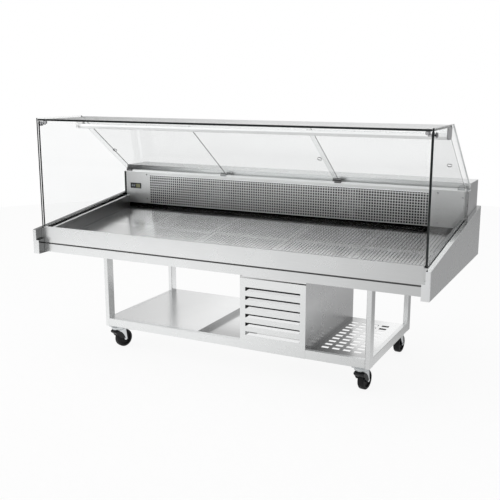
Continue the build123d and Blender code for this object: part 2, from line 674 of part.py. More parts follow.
def fascia_lower():
    """Plain strip under the shadow groove, turned in along its lower edge."""
    half = PANEL_INNER - FASCIA_END_GAP
    section = [(FASCIA_STATION, FASCIA_BOTTOM), (FASCIA_STATION, GROOVE_BOTTOM), (TUB_FRONT, GROOVE_BOTTOM),
               (TUB_FRONT, TUB_BOTTOM), (TUB_FRONT + GROOVE_DEPTH, TUB_BOTTOM),
               (TUB_FRONT + GROOVE_DEPTH, FASCIA_BOTTOM)]
    return prism(section, -half, half)


def worktop():
    """Sheet over the evaporator box with an upright front edge behind the doors."""
    top = WORKTOP_HEIGHT
    low = LEDGE_HEIGHT + TRACK_BASE
    section = [(STEP_STATION - SHEET, low), (STEP_STATION - SHEET, top), (DEPTH, top), (DEPTH, top - SHEET),
               (STEP_STATION, top - SHEET), (STEP_STATION, low)]
    return prism(section, -BOX_HALF, BOX_HALF)


# Glass

def side_glass():
    """Right pane: upright front, inclined rear edge, foot on the ledge, sloping lower edge in its seat."""
    margin = GLASS_REAR_MARGIN
    foot_rear = COVER_FRONT + GLASS_FOOT
    section = [(GLASS_STATION, rim_height(GLASS_STATION) - SEAT_DROP), (GLASS_STATION, GLASS_TOP),
               on_door_slope(along_at_height(GLASS_TOP, margin), margin),
               (foot_rear, LEDGE_HEIGHT + GLASS_FOOT_HEIGHT), (foot_rear, LEDGE_HEIGHT),
               (COVER_FRONT, LEDGE_HEIGHT), (COVER_FRONT, rim_height(COVER_FRONT) - SEAT_DROP)]
    pane = prism(section, SIDE_GLASS_INNER, SIDE_GLASS_INNER + GLASS)
    hole = rod_x(CLAMP_BOLT + 2 * BOLT_CLEARANCE, SIDE_GLASS_INNER, SIDE_GLASS_INNER + GLASS,
                 CLAMP_STATION, TOP_GLASS_UNDER - CLAMP_DISC / 2)
    return pane - hole


def front_glass():
    """Frameless pane standing in the fascia channel."""
    near = FASCIA_STATION + FASCIA_FOLD + (CHANNEL_WIDTH - GLASS) / 2
    half = SIDE_GLASS_INNER - FRONT_GLASS_GAP
    return block(-half, half, near, near + GLASS, FASCIA_TOP - CHANNEL_DEPTH,
                 TOP_GLASS_UNDER - FRONT_GLASS_HEADROOM)


def top_glass():
    """Pane between the side glasses, with a bolt hole at each front corner."""
    half = SIDE_GLASS_INNER - TOP_GLASS_GAP
    pane = block(-half, half, GLASS_STATION, TOP_GLASS_REAR, TOP_GLASS_UNDER, TOP_GLASS_TOP)
    for x in (-CLAMP_X, CLAMP_X):
        pane -= rod_z(CLAMP_BOLT + 2 * BOLT_CLEARANCE, TOP_GLASS_UNDER, TOP_GLASS_TOP, x, CLAMP_STATION)
    return pane


def corner_clamp():
    """Right clamp: discs on both faces of the side glass and a bolted seat under the top glass."""
    height = TOP_GLASS_UNDER - CLAMP_DISC / 2
    inner = rod_x(CLAMP_DISC, CLAMP_X - CLAMP_DISC / 2, SIDE_GLASS_INNER, CLAMP_STATION, height)
    bolt = rod_x(CLAMP_BOLT, SIDE_GLASS_INNER, SIDE_GLASS_INNER + GLASS, CLAMP_STATION, height)
    outer = rod_x(CLAMP_DISC, SIDE_GLASS_INNER + GLASS, SIDE_GLASS_INNER + GLASS + CLAMP_DISC_THICKNESS,
                  CLAMP_STATION, height)
    seat = rod_z(CLAMP_SEAT, height, TOP_GLASS_UNDER, CLAMP_X, CLAMP_STATION)
    stud = rod_z(CLAMP_BOLT, TOP_GLASS_UNDER, TOP_GLASS_TOP, CLAMP_X, CLAMP_STATION)
    return inner + bolt + outer + seat + stud


def corner_clamps():
    """Clamps at both front corners of the top glass."""
    clamp = corner_clamp()
    return Compound(children=[clamp, mirrored(clamp)])


# Doors, track, guide and lamp

def door_offset(index):
    """Height of a door's plane above the front track's plane; the middle door runs behind."""
    return TRACK_SPACING if index == 1 else 0.0


def door_left_edge(index):
    """X of a closed door's left edge."""
    return -DOOR_HALF_SPAN + index * (DOOR_WIDTH - DOOR_OVERLAP)


def along_at_height(height, above):
    """Distance down the door slope at which a plane reaches a height."""
    return (GUIDE_HEIGHT + above * cos(PITCH) - height) / sin(PITCH)


def door_section(index):
    """Outline of a door panel, cut level at its foot."""
    middle = door_offset(index)
    half = DOOR_THICKNESS / 2
    start = DOOR_TOP_GAP - GUIDE_TOP_GAP
    return [on_door_slope(start, middle - half), on_door_slope(start, middle + half),
            on_door_slope(along_at_height(DOOR_FOOT, middle + half), middle + half),
            on_door_slope(along_at_height(DOOR_FOOT, middle - half), middle - half)]


def finger_hole_x(index):
    """X of a door's finger hole, near the edge that is pulled."""
    if index == 0:
        return door_left_edge(index) + FINGER_HOLE_INSET
    return door_left_edge(index) + DOOR_WIDTH - FINGER_HOLE_INSET


def finger_hole_place(index):
    """Station and height of a door's finger hole."""
    above = door_offset(index)
    return on_door_slope(along_at_height(FINGER_HOLE_HEIGHT, above), above)


def door_panel(index):
    """Clear panel with a finger hole near one edge."""
    x_low = door_left_edge(index)
    panel = prism(door_section(index), x_low, x_low + DOOR_WIDTH)
    station, height = finger_hole_place(index)
    hole = Pos(finger_hole_x(index), back(station), height) * Rot(-degrees(PITCH), 0, 0) * Cylinder(
        FINGER_HOLE / 2, 4 * DOOR_THICKNESS)
    return panel - hole


def rib_station(index):
    """Station of the track rib that a door runs on."""
    above = door_offset(index)
    return on_door_slope(along_at_height(DOOR_FOOT, above), above)[0]


def door_shoes(index):
    """Two glides under a door's corners, grooved over the track rib."""
    x_low = door_left_edge(index)
    middle = rib_station(index)
    low = LEDGE_HEIGHT + TRACK_BASE + RUNNING_GAP
    rib_top = LEDGE_HEIGHT + TRACK_BASE + RIB_HEIGHT + RUNNING_GAP
    half = RIB_WIDTH / 2 + RIB_CLEARANCE
    shoes = []
    for start in (x_low, x_low + DOOR_WIDTH - SHOE_LENGTH):
        shoe = block(start, start + SHOE_LENGTH, middle - SHOE_WIDTH / 2, middle + SHOE_WIDTH / 2,
                     low, low + SHOE_HEIGHT)
        shoe -= block(start, start + SHOE_LENGTH, middle - half, middle + half, low, rib_top)
        shoe -= prism(door_section(index), start, start + SHOE_LENGTH)
        shoes.append(shoe)
    return shoes


def door_track():
    """Base strip on the ledge with one rib for each door plane."""
    half = BAR_HALF + BRACKET_THICKNESS
    low = LEDGE_HEIGHT
    base_top = low + TRACK_BASE
    track = block(-half, half, COVER_FRONT - TRACK_NOSE, STEP_STATION, low, base_top)
    for index in (0, 1):
        middle = rib_station(index)
        track += block(-half, half, middle - RIB_WIDTH / 2, middle + RIB_WIDTH / 2, base_top,
                       base_top + RIB_HEIGHT)
    return track


def door_guide():
    """Clear E-shaped guide that holds the upper edges of the doors."""
    web = -GUIDE_TOP_GAP
    tip = web + GUIDE_REACH
    slot = GUIDE_SLOT / 2
    lowest = -slot - GUIDE_ARM
    highest = TRACK_SPACING + slot + GUIDE_ARM
    outline = [(web - GUIDE_ARM, lowest), (tip, lowest), (tip, -slot), (web, -slot), (web, slot), (tip, slot),
               (tip, TRACK_SPACING - slot), (web, TRACK_SPACING - slot), (web, TRACK_SPACING + slot),
               (tip, TRACK_SPACING + slot), (tip, highest), (web - GUIDE_ARM, highest)]
    return prism([on_door_slope(along, above) for along, above in outline], -BAR_HALF, BAR_HALF)


def lamp_section():
    """Outline of the lamp bar, bevelled behind to carry the door guide."""
    lowest = -GUIDE_SLOT / 2 - GUIDE_ARM
    upper = on_door_slope(-GUIDE_TOP_GAP - GUIDE_ARM, lowest)
    lower = on_door_slope(GUIDE_REACH - GUIDE_TOP_GAP, lowest)
    front = upper[0] - LAMP_WIDTH
    return [(front, LAMP_BOTTOM), (front, upper[1]), upper, lower, (lower[0], LAMP_BOTTOM)]


def lamp_bar():
    """Extruded bar under the top glass with a recess for the diffuser."""
    section = lamp_section()
    near = section[0][0] + (LAMP_WIDTH - DIFFUSER_WIDTH) / 2
    bar = prism(section, -BAR_HALF, BAR_HALF)
    return bar - block(-BAR_HALF, BAR_HALF, near, near + DIFFUSER_WIDTH, LAMP_BOTTOM,
                       LAMP_BOTTOM + DIFFUSER_DROP)


def lamp_diffuser():
    """Milky strip that closes the lamp bar underneath."""
    near = lamp_section()[0][0] + (LAMP_WIDTH - DIFFUSER_WIDTH) / 2
    return block(-BAR_HALF, BAR_HALF, near, near + DIFFUSER_WIDTH, LAMP_BOTTOM - DIFFUSER_DROP,
                 LAMP_BOTTOM + DIFFUSER_DROP)


def lamp_brackets():
    """Plates that hang the bar and the guide from the top glass at both ends."""
    low = LAMP_BOTTOM - DIFFUSER_DROP
    plate = block(BAR_HALF, BAR_HALF + BRACKET_THICKNESS, BRACKET_FRONT, BRACKET_REAR, low, TOP_GLASS_UNDER)
    corners = plate.edges().filter_by(Axis.X).filter_by_position(Axis.Z, low, low)
    plate = fillet(corners, BRACKET_ROUND)
    return Compound(children=[plate, mirrored(plate)])


# Evaporator

def evaporator_cover():
    """Perforated sheet with a plain control field at the left and flanges turned back."""
    half = PANEL_INNER
    low = COVER_BOTTOM
    high = LEDGE_HEIGHT
    columns = int((PERFORATION_RIGHT - PERFORATION_LEFT) / PERFORATION_PITCH)
    rows = int((high - low) / PERFORATION_PITCH)
    middle = (PERFORATION_LEFT + PERFORATION_RIGHT) / 2
    face = Rectangle(2 * half, high - low)
    holes = GridLocations(PERFORATION_PITCH, PERFORATION_PITCH, columns, rows)
    face -= Pos(middle, 0) * holes * Rectangle(PERFORATION_HOLE, PERFORATION_HOLE)
    face -= Pos(THERMOSTAT_X, THERMOSTAT_HEIGHT - (low + high) / 2) * Rectangle(
        CASE_WIDTH + 2 * CASE_CLEARANCE, CASE_HEIGHT + 2 * CASE_CLEARANCE)
    upright = Plane(origin=(0, back(BOX_FRONT), (low + high) / 2), x_dir=(1, 0, 0), z_dir=(0, -1, 0))
    sheet = extrude(upright * face, amount=SHEET)
    flange_half = TUB_INNER - COVER_FLANGE_GAP
    flange = block(-flange_half, flange_half, BOX_FRONT, BOX_FRONT + COVER_FLANGE, low, low + SHEET)
    return sheet + flange


def evaporator_coil():
    """Long finned block hung from the chamber's ceiling between two end plates."""
    half = COIL_LENGTH / 2
    coil = block(-half, half, COIL_FRONT, COIL_REAR, COIL_BOTTOM, CHAMBER_CEILING)
    pitch = COIL_LENGTH / FIN_GROOVES
    for index in range(1, FIN_GROOVES):
        x = -half + index * pitch
        coil -= block(x - FIN_GROOVE_WIDTH / 2, x + FIN_GROOVE_WIDTH / 2, COIL_FRONT,
                      COIL_FRONT + FIN_GROOVE_DEPTH, COIL_BOTTOM, CHAMBER_CEILING)
    for x in (-half - COIL_PLATE, half):
        coil += block(x, x + COIL_PLATE, COIL_FRONT - COIL_PLATE, COIL_REAR, COIL_BOTTOM - COIL_PLATE,
                      CHAMBER_CEILING)
    return coil


def evaporator_motor(x):
    """Fan motor on a strap from the chamber's ceiling."""
    motor = rod_y(EVAPORATOR_MOTOR_DIAMETER, EVAPORATOR_MOTOR_NEAR, EVAPORATOR_MOTOR_FAR, x,
                  FAN_CENTRE_HEIGHT)
    motor += rod_y(FAN_SHAFT, EVAPORATOR_FAN_NEAR, EVAPORATOR_MOTOR_NEAR, x, FAN_CENTRE_HEIGHT)
    motor += block(x - MOTOR_STRAP_WIDTH / 2, x + MOTOR_STRAP_WIDTH / 2,
                   EVAPORATOR_MOTOR_NEAR + MOTOR_STRAP_INSET, EVAPORATOR_MOTOR_FAR - MOTOR_STRAP_INSET,
                   FAN_CENTRE_HEIGHT, CHAMBER_CEILING)
    return motor


def evaporator_motors():
    """Both fan motors in front of the evaporator coil."""
    return Compound(children=[evaporator_motor(-EVAPORATOR_FAN_X), evaporator_motor(EVAPORATOR_FAN_X)])


def evaporator_fan(x):
    """Fan in front of the evaporator coil."""
    return fan(EVAPORATOR_FAN_DIAMETER, EVAPORATOR_FAN_HUB, EVAPORATOR_FAN_NEAR, EVAPORATOR_FAN_FAR, x,
               FAN_CENTRE_HEIGHT)


# Thermostat

def key_x(index):
    """X of a key's middle, counted from the bezel's left end."""
    return THERMOSTAT_X - BEZEL_WIDTH / 2 + KEY_INSET + index * KEY_PITCH


def control_block(width, height, near, far, x=THERMOSTAT_X):
    """Box centred on the thermostat's height."""
    return block(x - width / 2, x + width / 2, near, far, THERMOSTAT_HEIGHT - height / 2,
                 THERMOSTAT_HEIGHT + height / 2)


def thermostat():
    """Bezel proud of the cover with the case behind it, key pockets and a display recess."""
    front = COVER_FRONT - BEZEL_THICKNESS
    body = control_block(BEZEL_WIDTH, BEZEL_HEIGHT, front, COVER_FRONT)
    body += control_block(CASE_WIDTH, CASE_HEIGHT, COVER_FRONT, COVER_FRONT + CASE_DEPTH)
    pocket = KEY_SIZE + 2 * KEY_CLEARANCE
    for index in range(KEY_COUNT):
        body -= control_block(pocket, pocket, front, front + KEY_POCKET, key_x(index))
    display_x = THERMOSTAT_X + BEZEL_WIDTH / 4
    return body - control_block(DISPLAY_WIDTH, DISPLAY_HEIGHT, front, front + DISPLAY_RECESS, display_x)


def thermostat_key(index):
    """Push key in its pocket."""
    front = COVER_FRONT - BEZEL_THICKNESS - KEY_PROUD
    return control_block(KEY_SIZE, KEY_SIZE, front, front + KEY_LENGTH, key_x(index))


# Deck

def plate_width(index):
    """Width of a deck plate; the middle one is wider."""
    return MIDDLE_PLATE_WIDTH if index == DECK_COUNT // 2 else SIDE_PLATE_WIDTH


def plate_left(index):
    """X of a deck plate's left edge."""
    return -DECK_HALF + sum(plate_width(before) + DECK_GAP for before in range(index))


def deck_plate(index):
    """Loose plate, flanged in front and behind, with two groups of drain slots."""
    x_low = plate_left(index)
    width = plate_width(index)
    outline = [(0, -DECK_FLANGE), (0, 0), (DECK_LENGTH, 0), (DECK_LENGTH, -DECK_FLANGE),
               (DECK_LENGTH - SHEET, -DECK_FLANGE), (DECK_LENGTH - SHEET, -SHEET), (SHEET, -SHEET),
               (SHEET, -DECK_FLANGE)]
    plate = prism([on_deck(along, above) for along, above in outline], x_low, x_low + width)
    band_start = (DECK_LENGTH - PLATE_BAND) / 2
    groups = ((PLATE_END_MARGIN, band_start), (band_start + PLATE_BAND, DECK_LENGTH - PLATE_END_MARGIN))
    columns = int((width - 2 * PLATE_MARGIN - SLOT_WIDTH) / SLOT_PITCH) + 1
    first = x_low + width / 2 - SLOT_PITCH * (columns - 1) / 2
    slots = []
    for column in range(columns):
        x = first + column * SLOT_PITCH
        for start, end in groups:
            section = [on_deck(start, SHEET), on_deck(end, SHEET), on_deck(end, -2 * SHEET),
                       on_deck(start, -2 * SHEET)]
            slots.append(prism(section, x - SLOT_WIDTH / 2, x + SLOT_WIDTH / 2))
    return plate - slots


# Casters, drawn with the swivel axis at the origin and the wheel trailing along +X

def caster_place(name):
    """Position of a caster's swivel axis on the floor."""
    end, side = name.split("_")
    x = BASE_HALF - CASTER_INSETS[side]
    if side == "left":
        x = -x
    station = BASE_REAR - CASTER_INSETS[end] if end == "rear" else BASE_FRONT + CASTER_INSETS[end]
    return Pos(x, back(station), 0) * Rot(0, 0, CASTER_HEADINGS[name])


def caster_plates():
    """Top plates under the corners of the base frame."""
    plates = []
    for name in CASTER_HEADINGS:
        centre = caster_place(name).position
        plates.append(Pos(centre.X, centre.Y, CASTER_HEIGHT - CASTER_PLATE_THICKNESS / 2) * Box(
            CASTER_PLATE, CASTER_PLATE, CASTER_PLATE_THICKNESS))
    return Compound(children=plates)


def pedal_pin(diameter):
    """Pin across the fork on which the brake pedal turns."""
    return Pos(PEDAL_PIN_X, 0, PEDAL_PIN_HEIGHT) * Rot(90, 0, 0) * Cylinder(
        diameter / 2, FORK_GAP + 2 * FORK_WALL)


def caster_fork(braked):
    """Raceway, crown, two tapered cheeks and the axle; braked forks are bored for the pedal pin."""
    axle_height = WHEEL_DIAMETER / 2
    raceway_top = CASTER_HEIGHT - CASTER_PLATE_THICKNESS - RUNNING_GAP
    half = FORK_GAP / 2
    raceway = Pos(0, 0, (CROWN_HEIGHT + raceway_top) / 2) * Cylinder(
        RACEWAY_DIAMETER / 2, raceway_top - CROWN_HEIGHT)
    crown = Pos(0, 0, CROWN_HEIGHT - FORK_WALL / 2) * Box(
        2 * CHEEK_REACH, FORK_GAP + 2 * FORK_WALL, FORK_WALL)
    top_edge = Line((-CHEEK_REACH, CROWN_HEIGHT), (CHEEK_REACH, CROWN_HEIGHT))
    boss = CenterArc((CASTER_TRAIL, axle_height), CHEEK_BOSS, 0, 360)
    cheek = extrude(Plane.XZ * make_hull(top_edge.edges() + boss.edges()), amount=FORK_WALL)
    axle = Pos(CASTER_TRAIL, 0, axle_height) * Rot(90, 0, 0) * Cylinder(
        AXLE_DIAMETER / 2, FORK_GAP + 4 * FORK_WALL)
    fork = raceway + crown + Pos(0, -half, 0) * cheek + Pos(0, half + FORK_WALL, 0) * cheek + axle
    if braked:
        fork -= pedal_pin(PEDAL_PIN + 2 * AXLE_CLEARANCE)
    return fork


def caster_wheel():
    """Solid wheel with bevelled shoulders, bored for the axle."""
    radius = WHEEL_DIAMETER / 2
    half = WHEEL_WIDTH / 2
    bore = AXLE_DIAMETER / 2 + AXLE_CLEARANCE
    side = [(bore, half), (radius - WHEEL_SHOULDER, half), (radius, half - WHEEL_SHOULDER)]
    other_side = [(x, -y) for x, y in reversed(side)]
    wheel = revolve(make_face(Polyline(*side, *other_side, close=True)), axis=Axis.Y)
    return Pos(CASTER_TRAIL, 0, radius) * wheel


def caster_pedal():
    """Brake lever shaped like a beak, on a pin that turns in the fork's cheeks."""
    boss = PEDAL_BOSS
    tip_x = PEDAL_PIN_X - PEDAL_LENGTH
    tip_top = PEDAL_PIN_HEIGHT + boss + PEDAL_RISE
    outline = Polyline((PEDAL_PIN_X + boss, PEDAL_PIN_HEIGHT - boss),
                       (PEDAL_PIN_X + boss, PEDAL_PIN_HEIGHT + boss),
                       (PEDAL_PIN_X - boss, PEDAL_PIN_HEIGHT + boss), (tip_x, tip_top),
                       (tip_x, tip_top - PEDAL_THICKNESS),
                       (PEDAL_PIN_X - boss, PEDAL_PIN_HEIGHT - boss - PEDAL_BELLY), close=True)
    lever = extrude(Plane.XZ * make_face(outline), amount=PEDAL_WIDTH / 2, both=True)
    return lever + pedal_pin(PEDAL_PIN)


def save(name, shape):
    """Write one piece under its own name."""
    export_step(shape, f"parts/{name}.step")


def main():
    os.makedirs("parts", exist_ok=True)
    panel = end_panel()
    glass = side_glass()
    pieces = {
        "base_legs": base_legs(), "base_rails": base_rails(), "base_floor": base_floor(),
        "raised_tray": raised_tray(), "unit_grille": unit_grille(),
        "unit_side_left": unit_side(UNIT_LEFT), "unit_side_right": unit_side(UNIT_RIGHT - UNIT_SHEET),
        "condenser_coil": condenser_coil(), "condenser_motor": condenser_motor(),
        "condenser_fan": condenser_fan(), "compressor": compressor(),
        "refrigerant_pipes": refrigerant_pipes(), "insulated_tub": insulated_tub(),
        "end_panel_left": mirrored(panel), "end_panel_right": panel,
        "fascia_upper": fascia_upper(), "fascia_lower": fascia_lower(), "worktop": worktop(),
        "side_glass_left": mirrored(glass), "side_glass_right": glass,
        "front_glass": front_glass(), "top_glass": top_glass(), "corner_clamps": corner_clamps(),
        "door_track": door_track(), "door_guide": door_guide(), "lamp_bar": lamp_bar(),
        "lamp_diffuser": lamp_diffuser(), "lamp_brackets": lamp_brackets(),
        "evaporator_cover": evaporator_cover(), "evaporator_coil": evaporator_coil(),
        "evaporator_motors": evaporator_motors(),
        "evaporator_fan_left": evaporator_fan(-EVAPORATOR_FAN_X),
        "evaporator_fan_right": evaporator_fan(EVAPORATOR_FAN_X),
        "thermostat": thermostat(), "caster_plates": caster_plates(),
    }
    for index, name in enumerate(("left", "middle", "right")):
        pieces[f"door_{name}"] = door_panel(index)
        pieces[f"door_shoes_{name}"] = Compound(children=door_shoes(index))
    for index in range(KEY_COUNT):
        pieces[f"thermostat_key_{index + 1}"] = thermostat_key(index)
    for index in range(DECK_COUNT):
        pieces[f"deck_plate_{index + 1}"] = deck_plate(index)
    for name in CASTER_HEADINGS:
        pieces[f"caster_fork_{name}"] = caster_place(name) * caster_fork(name in BRAKED)
        pieces[f"caster_wheel_{name}"] = caster_place(name) * caster_wheel()
        if name in BRAKED:
            pieces[f"brake_pedal_{name}"] = caster_place(name) * caster_pedal()
    for name, shape in pieces.items():
        save(name, shape)


main()
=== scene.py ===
import json
from math import atan, cos, pi, radians, sin

import bmesh
import bpy
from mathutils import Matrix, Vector


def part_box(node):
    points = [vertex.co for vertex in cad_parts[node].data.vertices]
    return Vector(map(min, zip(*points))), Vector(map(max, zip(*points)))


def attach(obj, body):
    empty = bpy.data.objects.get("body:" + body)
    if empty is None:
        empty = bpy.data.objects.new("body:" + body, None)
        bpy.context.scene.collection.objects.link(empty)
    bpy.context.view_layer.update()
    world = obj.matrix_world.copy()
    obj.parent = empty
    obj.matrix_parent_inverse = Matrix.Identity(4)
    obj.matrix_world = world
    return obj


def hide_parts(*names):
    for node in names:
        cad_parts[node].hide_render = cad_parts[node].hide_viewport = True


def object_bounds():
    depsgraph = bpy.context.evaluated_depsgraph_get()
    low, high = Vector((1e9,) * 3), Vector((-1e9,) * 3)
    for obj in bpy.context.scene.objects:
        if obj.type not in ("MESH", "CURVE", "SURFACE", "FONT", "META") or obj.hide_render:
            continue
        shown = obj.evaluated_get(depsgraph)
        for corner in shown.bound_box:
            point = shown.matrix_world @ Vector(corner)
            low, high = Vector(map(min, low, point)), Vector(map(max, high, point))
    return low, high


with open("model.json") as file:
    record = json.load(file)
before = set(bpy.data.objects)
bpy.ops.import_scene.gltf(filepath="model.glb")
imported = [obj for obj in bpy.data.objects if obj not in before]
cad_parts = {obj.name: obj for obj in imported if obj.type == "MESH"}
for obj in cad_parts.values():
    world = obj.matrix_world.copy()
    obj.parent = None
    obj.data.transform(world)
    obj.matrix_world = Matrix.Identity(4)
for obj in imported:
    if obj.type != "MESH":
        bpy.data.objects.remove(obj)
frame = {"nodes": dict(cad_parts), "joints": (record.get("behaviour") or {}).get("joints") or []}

cad_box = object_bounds()
nodes = frame["nodes"]
joints = {joint["name"]: joint for joint in frame["joints"]}

# Places taken from the frame, in metres
DEPTH = cad_box[1][1] - cad_box[0][1]
COVER_LOW, COVER_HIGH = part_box("evaporator_cover")
GRILLE_LOW, GRILLE_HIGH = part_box("unit_grille")
SIDE_PANE_LOW, SIDE_PANE_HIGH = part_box("side_glass_right")
TOP_PANE_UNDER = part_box("top_glass")[0].z
FASCIA_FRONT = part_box("fascia_upper")[0].y
BASE_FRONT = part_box("base_rails")[0].y
PLATES_LOW, PLATES_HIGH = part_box("caster_plates")

# Sizes shared with the solids; a station is a distance behind the front of the end panels
SHEET = 0.002
RIM_RISE = 0.136
RIM_SLOPE = RIM_RISE / DEPTH
DECK_FRONT = 0.084
DECK_REAR = 0.874
DECK_PLANE = 0.605
DECK_FRONT_HEIGHT = DECK_PLANE + RIM_SLOPE * DECK_FRONT
DECK_FLANGE = 0.016
DECK_ANGLE = atan(RIM_SLOPE)
DECK_LENGTH = (DECK_REAR - DECK_FRONT) / cos(DECK_ANGLE)
DOOR_PITCH = radians(35.9)
THERMOSTAT_HOLE = (0.0714, 0.0294)
DISPLAY_PROUD = 0.003

# Zones of the tub
TUB_HALF = 1.0405
TUB_FRONT = 0.0755
CHAMBER_FRONT = 0.8365
CHAMBER_REAR = 1.0405
LINING_LOW = 0.575
LINING_HIGH = 0.9125
GROOVE_REACH = 0.012
GROOVE_HIGH = 0.640
JAMB_EDGE = 1.0595
JAMB_END = 1.0805
JAMB_DEPTH = 0.010

# Painted shade and reflections on the tub's zones, the rims and the cover, as shares of the full colour
WELL_PAINTED_SHADE = 0.25
JAMB_PAINTED_SHADE = 0.3
LEFT_RIM_TONE = 0.3
TUB_RIM_TONE = 0.4
COVER_TONE = 0.91

# Painted shade and reflections along an axis, as stops of (place in metres, share of the full colour)
UNIT_SIDE_TONES = {"Z": ((0.15, 0.58), (0.24, 0.7), (0.38, 1.0))}
FLOOR_PLATE_TONES = {"X": ((0.25, 0.9), (0.445, 0.45), (0.58, 0.8), (0.68, 1.0)),
                     "Y": ((-0.33, 0.5), (-0.2, 0.62), (-0.05, 0.9), (0.05, 1.0))}
COVER_TONES = {"Z": ((COVER_LOW.z, 0.6), (0.81, 0.85), (COVER_HIGH.z, 1.0)),
               "X": ((COVER_LOW.x, 0.6), (-0.75, 0.93), (0.2, 0.9), (0.5, 0.81), (0.87, 0.74), (0.91, 0.6))}
RIM_TONES = {"Y": ((-0.12, 1.0), (0.06, 0.42), (0.5, 0.36))}
STEP_TONES = {"X": ((-1.06, 0.13), (-0.98, 0.19), (-0.8, 0.42), (-0.5, 1.0), (0.4, 1.0), (0.8, 0.75))}
DECK_TONES = {"X": ((-0.73, 0.78), (-0.5, 0.76), (-0.17, 0.92), (0.1, 1.0), (0.6, 1.0), (0.83, 0.93))}
FASCIA_TONES = {"X": ((-0.88, 1.0), (-0.27, 0.97), (0.3, 0.86), (0.8, 0.77), (1.05, 0.75))}
TRAY_TONES = {"X": ((-0.8, 0.91), (-0.5, 0.92), (-0.3, 1.0))}
BLADE_TONES = {"Z": ((0.30, 1.0), (0.36, 0.87))}

# Painted shade and reflection up the lamp bar, as stops of (share of its height, share of the full colour)
LAMP_SHARES = ((0.0, 0.68), (0.52, 0.72), (0.6, 1.0))

# Greys of deep shadows: groove, sump by stops of (Y, grey), top of the grille by (X, grey) above a height
GROOVE_GREY = (0.3, 0.3, 0.3)
SUMP_GREYS = ((0.05, 0.08), (0.2, 0.004))
GRILLE_GREYS = ((GRILLE_LOW.x, 0.6), (0.25, 0.2), (GRILLE_HIGH.x, 0.02))
GRILLE_SHADE_LOW = 0.5065

# Faces told apart by the cosine between their normal and a direction, by size or by place
SQUARE_ON = 0.9
SLOPING = 0.7
HALF_TURNED = 0.5
HOLE_FACET = 0.0001
SAME_PLANE = 0.0002
SHOE_MIDDLE = 0.7

# Grain, clouds, mottling, smears and fins of the finishes
GRAIN_LONG = 12.0
GRAIN_FINE = 900.0
GRAIN_CONTRAST = 0.95
CLOUD_GLOSS = 0.03
MOTTLE_GLOSS = 0.15
SMEAR_CONTRAST = 0.99
SMEAR_ROUGHNESS = 0.01
FIN_SCALE = 80.0
FIN_GAP_TONE = 0.25

# Middle stretches of a noise value that colours and numbers run over
COLOUR_SPAN = (0.3, 0.7)
NUMBER_SPAN = (0.25, 0.75)

# Rounds; turned pieces keep a fine bore, the core
CORE = 0.001
TURN_STEPS = 48
EDGE_ROUND = 0.001
ROUND_SEGMENTS = 3
SHARP_ANGLE = radians(35)

# Fine perforation and screws of the evaporator cover
HOLE_PITCH = 0.015
HOLE_SIZE = 0.0104
HOLE_COLUMNS = 117
HOLE_ROWS = 12
HOLES_LEFT = -0.881
HOLES_BOTTOM = 0.741
SCREWS = ((-0.906, 0.916), (-0.905, 0.765), (0.919, 0.914), (0.922, 0.755), (1.048, 0.897))
SCREW_SECTION = ((CORE, 0.0), (0.005, 0.0), (0.0045, 0.0015), (0.003, 0.0025), (CORE, 0.0012))

# Fine slots of the deck plates, every other column shifted; grid lines are rounded so that equal ones meet
SLOT_PITCH_X = 0.018
SLOT_PITCH_Y = 0.018
SLOT_WIDTH = 0.0047
SLOT_LENGTH = 0.0098
PLATE_MARGIN = 0.027
PLATE_END = 0.022
PLATE_BAND = 0.040
STAGGER = (0.0, 0.5)
LINE_DIGITS = 5

# Fine grille, its filter and the box under the base floor
GRILLE_SHEET = 0.0015
GRILLE_FLANGE = 0.040
LOUVRE_X = (0.109, 0.414)
LOUVRE_TOP = 0.460
LOUVRE_HEIGHT = 0.020
LOUVRE_PITCH = 0.047
LOUVRE_COUNT = 6
LIP_REACH = 0.033
LIP_END_GAP = 0.005
FILTER_GAP = 0.052
FILTER_X = (0.083, 0.440)
FILTER_Z = (0.235, 0.500)
FILTER_PLEATS = 60
PLEAT_DEPTH = 0.005
BOX_X = (0.622, 0.690)
BOX_Y = (0.227, 0.315)
BOX_Z = (0.1410, 0.1475)
BOX_ROUND = 0.002
GLAND_RADIUS = 0.0025
GLAND_LENGTH = 0.012

# Seals and fascia fillers
SEAL_GAP = 0.0002
SEAL_WIDTH = 0.0038
FILLER_X = (1.0585, 1.0765)
FILLER_Z = (0.639, 0.694)

# Corner clamps
CLAMP_STATION = 0.080
CLAMP_X = 1.0385
CLAMP_ARM_Z = 1.262
ARM_RADIUS = 0.006
SEAT_RADIUS = 0.011
SEAT_FOOT = 0.0088
SEAT_BEVEL = 0.004
DISC_RADIUS = 0.012
DISC_SIDE = 0.004
DISC_BACK = 0.005
KNOB_SIDE = 0.005
KNOB_LENGTH = 0.008
KNOB_FACE = 0.0084

# Fine casters: lengths back from the swivel, across the wheel and up from the ground
CASTERS = ("front_left", "front_right", "rear_left", "rear_right")
PLATE_SIZE = 0.084
TRAIL = 0.035
WHEEL_RADIUS = 0.050
WHEEL_HALF = 0.017
TYRE_ROUND = 0.007
TREAD_TURNS = (90, 60, 30, 0)
HUB_RADIUS = 0.012
HUB_HALF = 0.0185
WEB_HALF = 0.010
RIM_RADIUS = 0.036
BORE = 0.0052
DRUM_SECTION = ((BORE, 0.1237), (0.039, 0.1237), (0.039, 0.117), (0.03627, 0.117), (0.03627, 0.1155),
                (0.03783, 0.114), (0.0351, 0.109), (0.02925, 0.106), (BORE, 0.106))
CHEEK_INNER = 0.020
CHEEK_OUTER = 0.023
CHEEK_TOP = (-0.012, 0.036)
CHEEK_ROOT = 0.108
CHEEK_BOSS = 0.010
BOSS_TURNS = range(70, -121, -10)
BOLT_RADIUS = 0.0065
BOLT_HALF = 0.026
BOLT_SHANK = 0.0048
